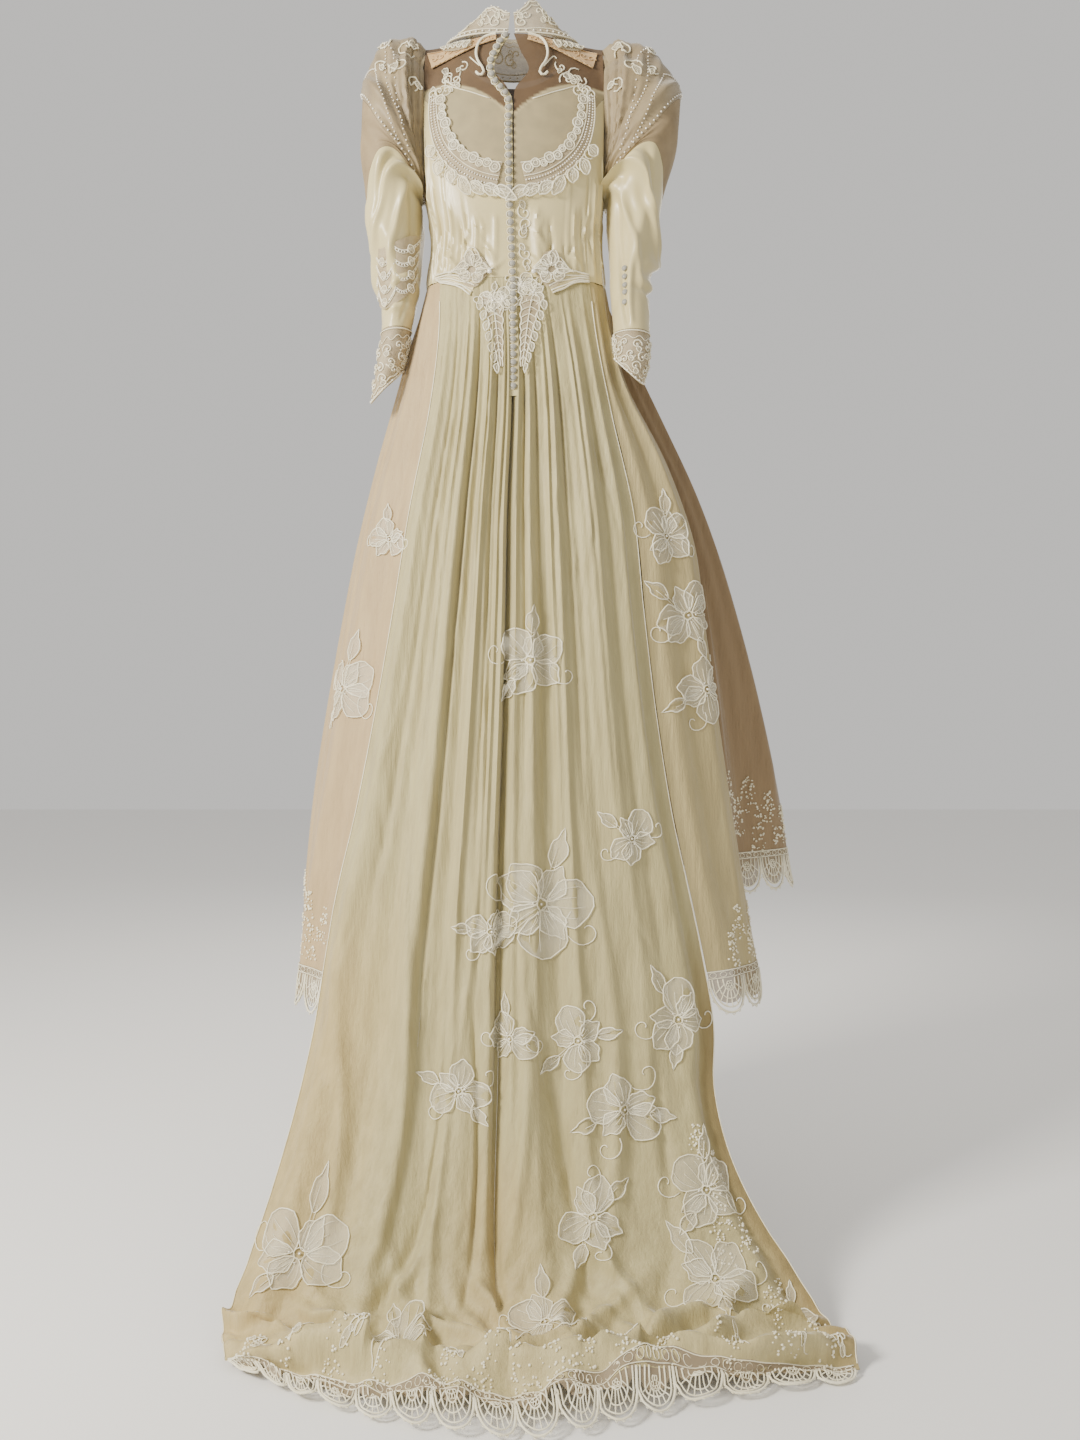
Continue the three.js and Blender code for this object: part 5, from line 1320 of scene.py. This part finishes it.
# ------------------------------------------------------------------- the waist
# Pleated swags from the side seams meet lace scrolls and a pearl beside the
# placket, and a lace point lies under them over the top of the skirt.
for side, sign in (("left", -1), ("right", 1)):
    swag = Cloth(outer_grid("waist_swag_" + side),
                 lambda u, v: 2.6 * MM * np.abs(np.sin(v * math.pi * 3.5 + 0.5 * np.sin(u * 7)))
                 * (0.5 + 0.5 * (u if side == "left" else 1 - u)))
    belongs(sew("waist_swag_satin_" + side, swag, satin, 46, 32), "satin", "waist_swag_" + side)
    rosette = Cloth(outer_grid("waist_rosette_" + side))
    belongs(sew("waist_rosette_net_" + side, rosette, lace_net, 30, 14, thickness=0.5 * MM), "lace",
            "waist_rosette_" + side)
    lace = Lacework()
    t = np.linspace(0, 1, 31)
    for v0 in (0.0, 0.30, 0.58, 0.86, 1.0):
        lace.cord(swag.at(t, v0 + 0.04 * np.sin(t * 9 + v0 * 5), 1.6 * MM), 1.5 * MM, kind=0)
    spot = Spot(rosette, 0.5, 0.5, 0, 1.25)
    for x0, y0, size, start, hand in ((-17, 12, 10, 200, 1), (2, 17, 11, 160, -1), (19, 10, 9, -20, -1),
                                      (-8, -4, 8, 60, 1), (12, -7, 8, 120, -1), (-26, -2, 7, 200, 1)):
        x, y = curl(x0 * -sign, y0, start, size, 1.3, hand * -sign, 1.15)
        lace.cord(spot(x, y, 2.0), 1.3 * MM)
    for heading, length in ((20, 26), (60, 24), (100, 26), (150, 30), (190, 32), (230, 26), (-20, 28),
                            (-60, 26)):
        petal(lace, spot, heading if sign < 0 else 180 - heading, length, 12, cord=1.0, veins=2, away=0.2,
              lift=1.6)
    lace.bead(spot(np.array([-24.0 * sign]), np.array([-15.0]), 4.5)[0], 4.6 * MM)
    for k in range(8):
        a = k * math.pi / 4
        lace.bead(spot(np.array([8 * math.cos(a)]), np.array([8 * math.sin(a)]), 3.4)[0], 1.6 * MM)
    belongs(lace.piece("waist_scrolls_" + side), "lace")
    point = Cloth(outer_grid("basque_lace_" + side))
    belongs(sew("basque_net_" + side, point, lace_net, 16, 40, thickness=0.5 * MM), "lace",
            "basque_lace_" + side)
    lace = Lacework()
    t = np.linspace(0, 1, 41)
    for u0, radius in ((0.03, 1.2), (0.97, 1.2), (0.5, 1.0)):
        lace.cord(point.at(u0 + 0.05 * np.sin(t * 40) * (u0 != 0.5), t, 1 * MM), radius * MM)
    for k in range(9):
        v = 0.06 + 0.1 * k
        for way in (-1, 1):
            u_rib = 0.5 + way * 0.45 * np.linspace(0, 1, 6)
            lace.cord(point.at(u_rib, v + 0.055 * np.linspace(0, 1, 6) ** 1.4, 1.2 * MM), 0.85 * MM, sides=4)
    for k in range(7):
        spot = Spot(point, 0.04 if side == "left" else 0.96, 0.05 + 0.15 * k, 0, 1)
        petal(lace, spot, -110 if side == "left" else -70, 20, 11, cord=1.0, veins=1, away=0.1)
        lace.bead(point.at(np.array([0.5]), np.array([0.08 + 0.13 * k]), 2 * MM)[0], 1.7 * MM)
    belongs(lace.piece("basque_lacework_" + side), "lace")
back_right = Cloth(outer_grid("bodice_back_right"), bodice_relief)
lace = Lacework()
for x0, z0, size, start, hand in ((22, -300, 11, 100, 1), (26, -318, 10, 240, -1), (20, -334, 8, 80, 1),
                                  (24, -366, 10, 120, 1), (28, -380, 8, 260, -1)):
    u, v = find(back_right, x0, z0)
    spot = Spot(back_right, u, v, 0, 1)
    x, y = curl(0, 0, start, size, 1.25, hand, 1.15)
    lace.cord(spot(x, y, 1.2), 1.3 * MM)
    petal(lace, spot, start, size * 1.8, size * 0.8, cord=0.9, veins=1, away=0.3)
belongs(lace.piece("bodice_curls_right"), "lace")
lace = Lacework()
for u, turn in ((0.355, 20), (0.43, 70), (0.57, 200), (0.645, 110)):
    flower(lace, train, u, 0.016 + 0.01 * math.sin(turn), 24, turn, 5, 1)
belongs(lace.piece("waist_flowers"), "lace")

# ------------------------------------------------------- cuffs and sleeve lace
# Each sleeve ends in a beaded lace cuff that comes to a point over the hand.
# The left sleeve also has lace swags at the elbow, and the puffs carry pearls.
for side, sign in (("left", -1), ("right", 1)):
    cuff = Cloth(outer_grid("cuff_lace_" + side), loop=True)
    belongs(sew("cuff_net_" + side, cuff, lace_net, 60, 28, thickness=0.6 * MM), "lace", "cuff_lace_" + side)
    lace = Lacework()
    t = np.linspace(0, 1, 80, endpoint=False)
    for v0, radius, wave in ((0.03, 1.1, 0.0), (0.16, 0.8, 0.03), (0.98, 1.4, 0.0), (0.88, 0.9, 0.03)):
        lace.cord(cuff.at(t, v0 + wave * np.sin(t * 2 * math.pi * 9), 1 * MM), radius * MM, closed=True)
    for k in range(9):
        for row, v0 in enumerate((0.3, 0.52, 0.74)):
            spot = Spot(cuff, (k + 0.5 * (row % 2)) / 9, v0, 0, 1)
            hand = 1 if (k + row) % 2 else -1
            x, y = curl(0, 0, 90 * k, 7.5, 1.25, hand, 1.1)
            lace.cord(spot(x, y, 1.2), 1.15 * MM)
            petal(lace, spot, 60 + 90 * k, 13, 7, cord=0.8, veins=1, away=0.3, lift=1.0)
            lace.bead(spot(np.array([0.0]), np.array([0.0]), 2.2)[0], 1.7 * MM)
    for k in range(22):
        lace.bead(cuff.at(np.array([(k + 0.5) / 22]), np.array([0.97]), 1.5 * MM)[0], 1.9 * MM)
    belongs(lace.piece("cuff_lacework_" + side), "lace")
    puff = sleeves[side]["puff"]
    lace = Lacework()
    for k in range(64):
        lace.bead(puff.at(np.array([k / 64]), np.array([0.965]), 1.2 * MM)[0], 1.8 * MM)
    strings = (((-0.10, 0.75), (0.02, 0.55), (0.12, 0.45), (0.24, 0.55), (0.33, 0.8)),
               ((-0.05, 0.35), (0.06, 0.50), (0.18, 0.62), (0.28, 0.60)),
               ((0.02, 0.88), (0.10, 0.72), (0.2, 0.75), (0.3, 0.92)))
    for string in strings:
        ends = np.array(string)
        t = np.linspace(0, 1, 34)
        share = np.linspace(0, 1, len(ends))
        for u0, v0 in zip(np.interp(t, share, ends[:, 0]), np.interp(t, share, ends[:, 1])):
            lace.bead(puff.at(np.array([u0]), np.array([v0]), 1.2 * MM)[0], 1.5 * MM)
    for u0, v0, size, start, hand in ((0.10, 0.30, 15, 60, 1), (0.16, 0.42, 13, 250, -1),
                                      (0.06, 0.52, 12, 140, 1), (0.2, 0.26, 11, 20, -1),
                                      (0.12, 0.62, 10, 300, 1)):
        spot = Spot(puff, u0, v0, 0, 1)
        x, y = curl(0, 0, start, size, 1.2, hand * sign, 1.15)
        lace.cord(spot(x, y, 1.2), 1.4 * MM)
        petal(lace, spot, start + 60, size * 1.7, size * 0.75, cord=1.0, veins=2, away=0.2)
    belongs(lace.piece("puff_pearls_" + side), "lace")
elbow = Cloth(outer_grid("elbow_lace_left"),
              inside=tuple(outer_grid("sleeve_satin_left").reshape(-1, 3).mean(axis=0)))
belongs(sew("elbow_net_left", elbow, lace_net, 40, 38, thickness=0.5 * MM), "lace", "elbow_lace_left")
lace = Lacework()
for row, v0 in enumerate((0.04, 0.26, 0.48, 0.70)):
    t = np.linspace(0, 1, 61)
    sag = 0.20 * np.abs(np.sin(t * math.pi * 3)) ** 0.8
    for drop, radius in ((0, 1.2), (0.05, 0.8)):
        lace.cord(elbow.at(t, v0 + drop + sag, 1 * MM), radius * MM)
    for k in range(30):
        u0 = np.array([(k + 0.5) / 30])
        lace.bead(elbow.at(u0, v0 + 0.025 + 0.20 * np.abs(np.sin(u0 * math.pi * 3)) ** 0.8, 1.4 * MM)[0],
                  1.6 * MM)
    for k in range(3):
        spot = Spot(elbow, (k + 0.5) / 3, v0 + 0.1, 0, 1)
        petal(lace, spot, -90, 16, 12, cord=0.9, veins=2, away=0.1)
belongs(lace.piece("elbow_lacework_left"), "lace")
sleeve = sleeves["right"]["satin"]
lo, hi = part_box("buttons_cuff_right")
cover_points, cover_faces = [], []
for k in range(7):
    z = hi.z - BUTTON_RADIUS - (hi.z - lo.z - 2 * BUTTON_RADIUS) * k / 6
    y = hi.y - BUTTON_RADIUS - (hi.y - lo.y - 2 * BUTTON_RADIUS) * k / 6
    u, v = find(sleeve, (lo.x + hi.x) / 2 / MM, z / MM)
    cover_faces += [tuple(i + k * len(BUTTON_POINTS) for i in f) for f in BUTTON_FACES]
    cover_points.append(sleeve.at(np.array([u]), np.array([v]), 3.2 * MM)[0] + turned(BUTTON_POINTS,
        face_of(sleeve, u, v)))
belongs(new_piece("button_covers_cuff_right", np.concatenate(cover_points), cover_faces, [button_cloth]),
        "covered_button", "buttons_cuff_right")

# ---------------------------------------------------------------- the flat cuts
# Each sheet's flat size is measured on the piece as it is built. Here a quarter more is worked out
# for the gathered puffs and swags, and the measures are then taken off the pieces again.
GATHERING = 1.25
GATHERED = ("sleeve_puff", "waist_swag")
TRIMS = {"train_gore_cloth_" + gore: [hem_pieces[gore]] for gore in GORES}
TRIMS["train_gore_cloth_back_right"].append(train_flowers)
TRIMS["skirt_front_cloth"] = [hem_pieces["front"], front_flowers]
TRIMS["skirt_side_cloth_left"] = [hem_pieces["side_left"], side_flowers]
TRIMS["skirt_godet_cloth_right"] = [hem_pieces["godet"], godet_flowers]
for piece in list(bpy.data.objects):
    if piece.get("cut"):
        gathered = piece.name.startswith(GATHERED)
        cut_size(piece, GATHERING if gathered else 1.0)
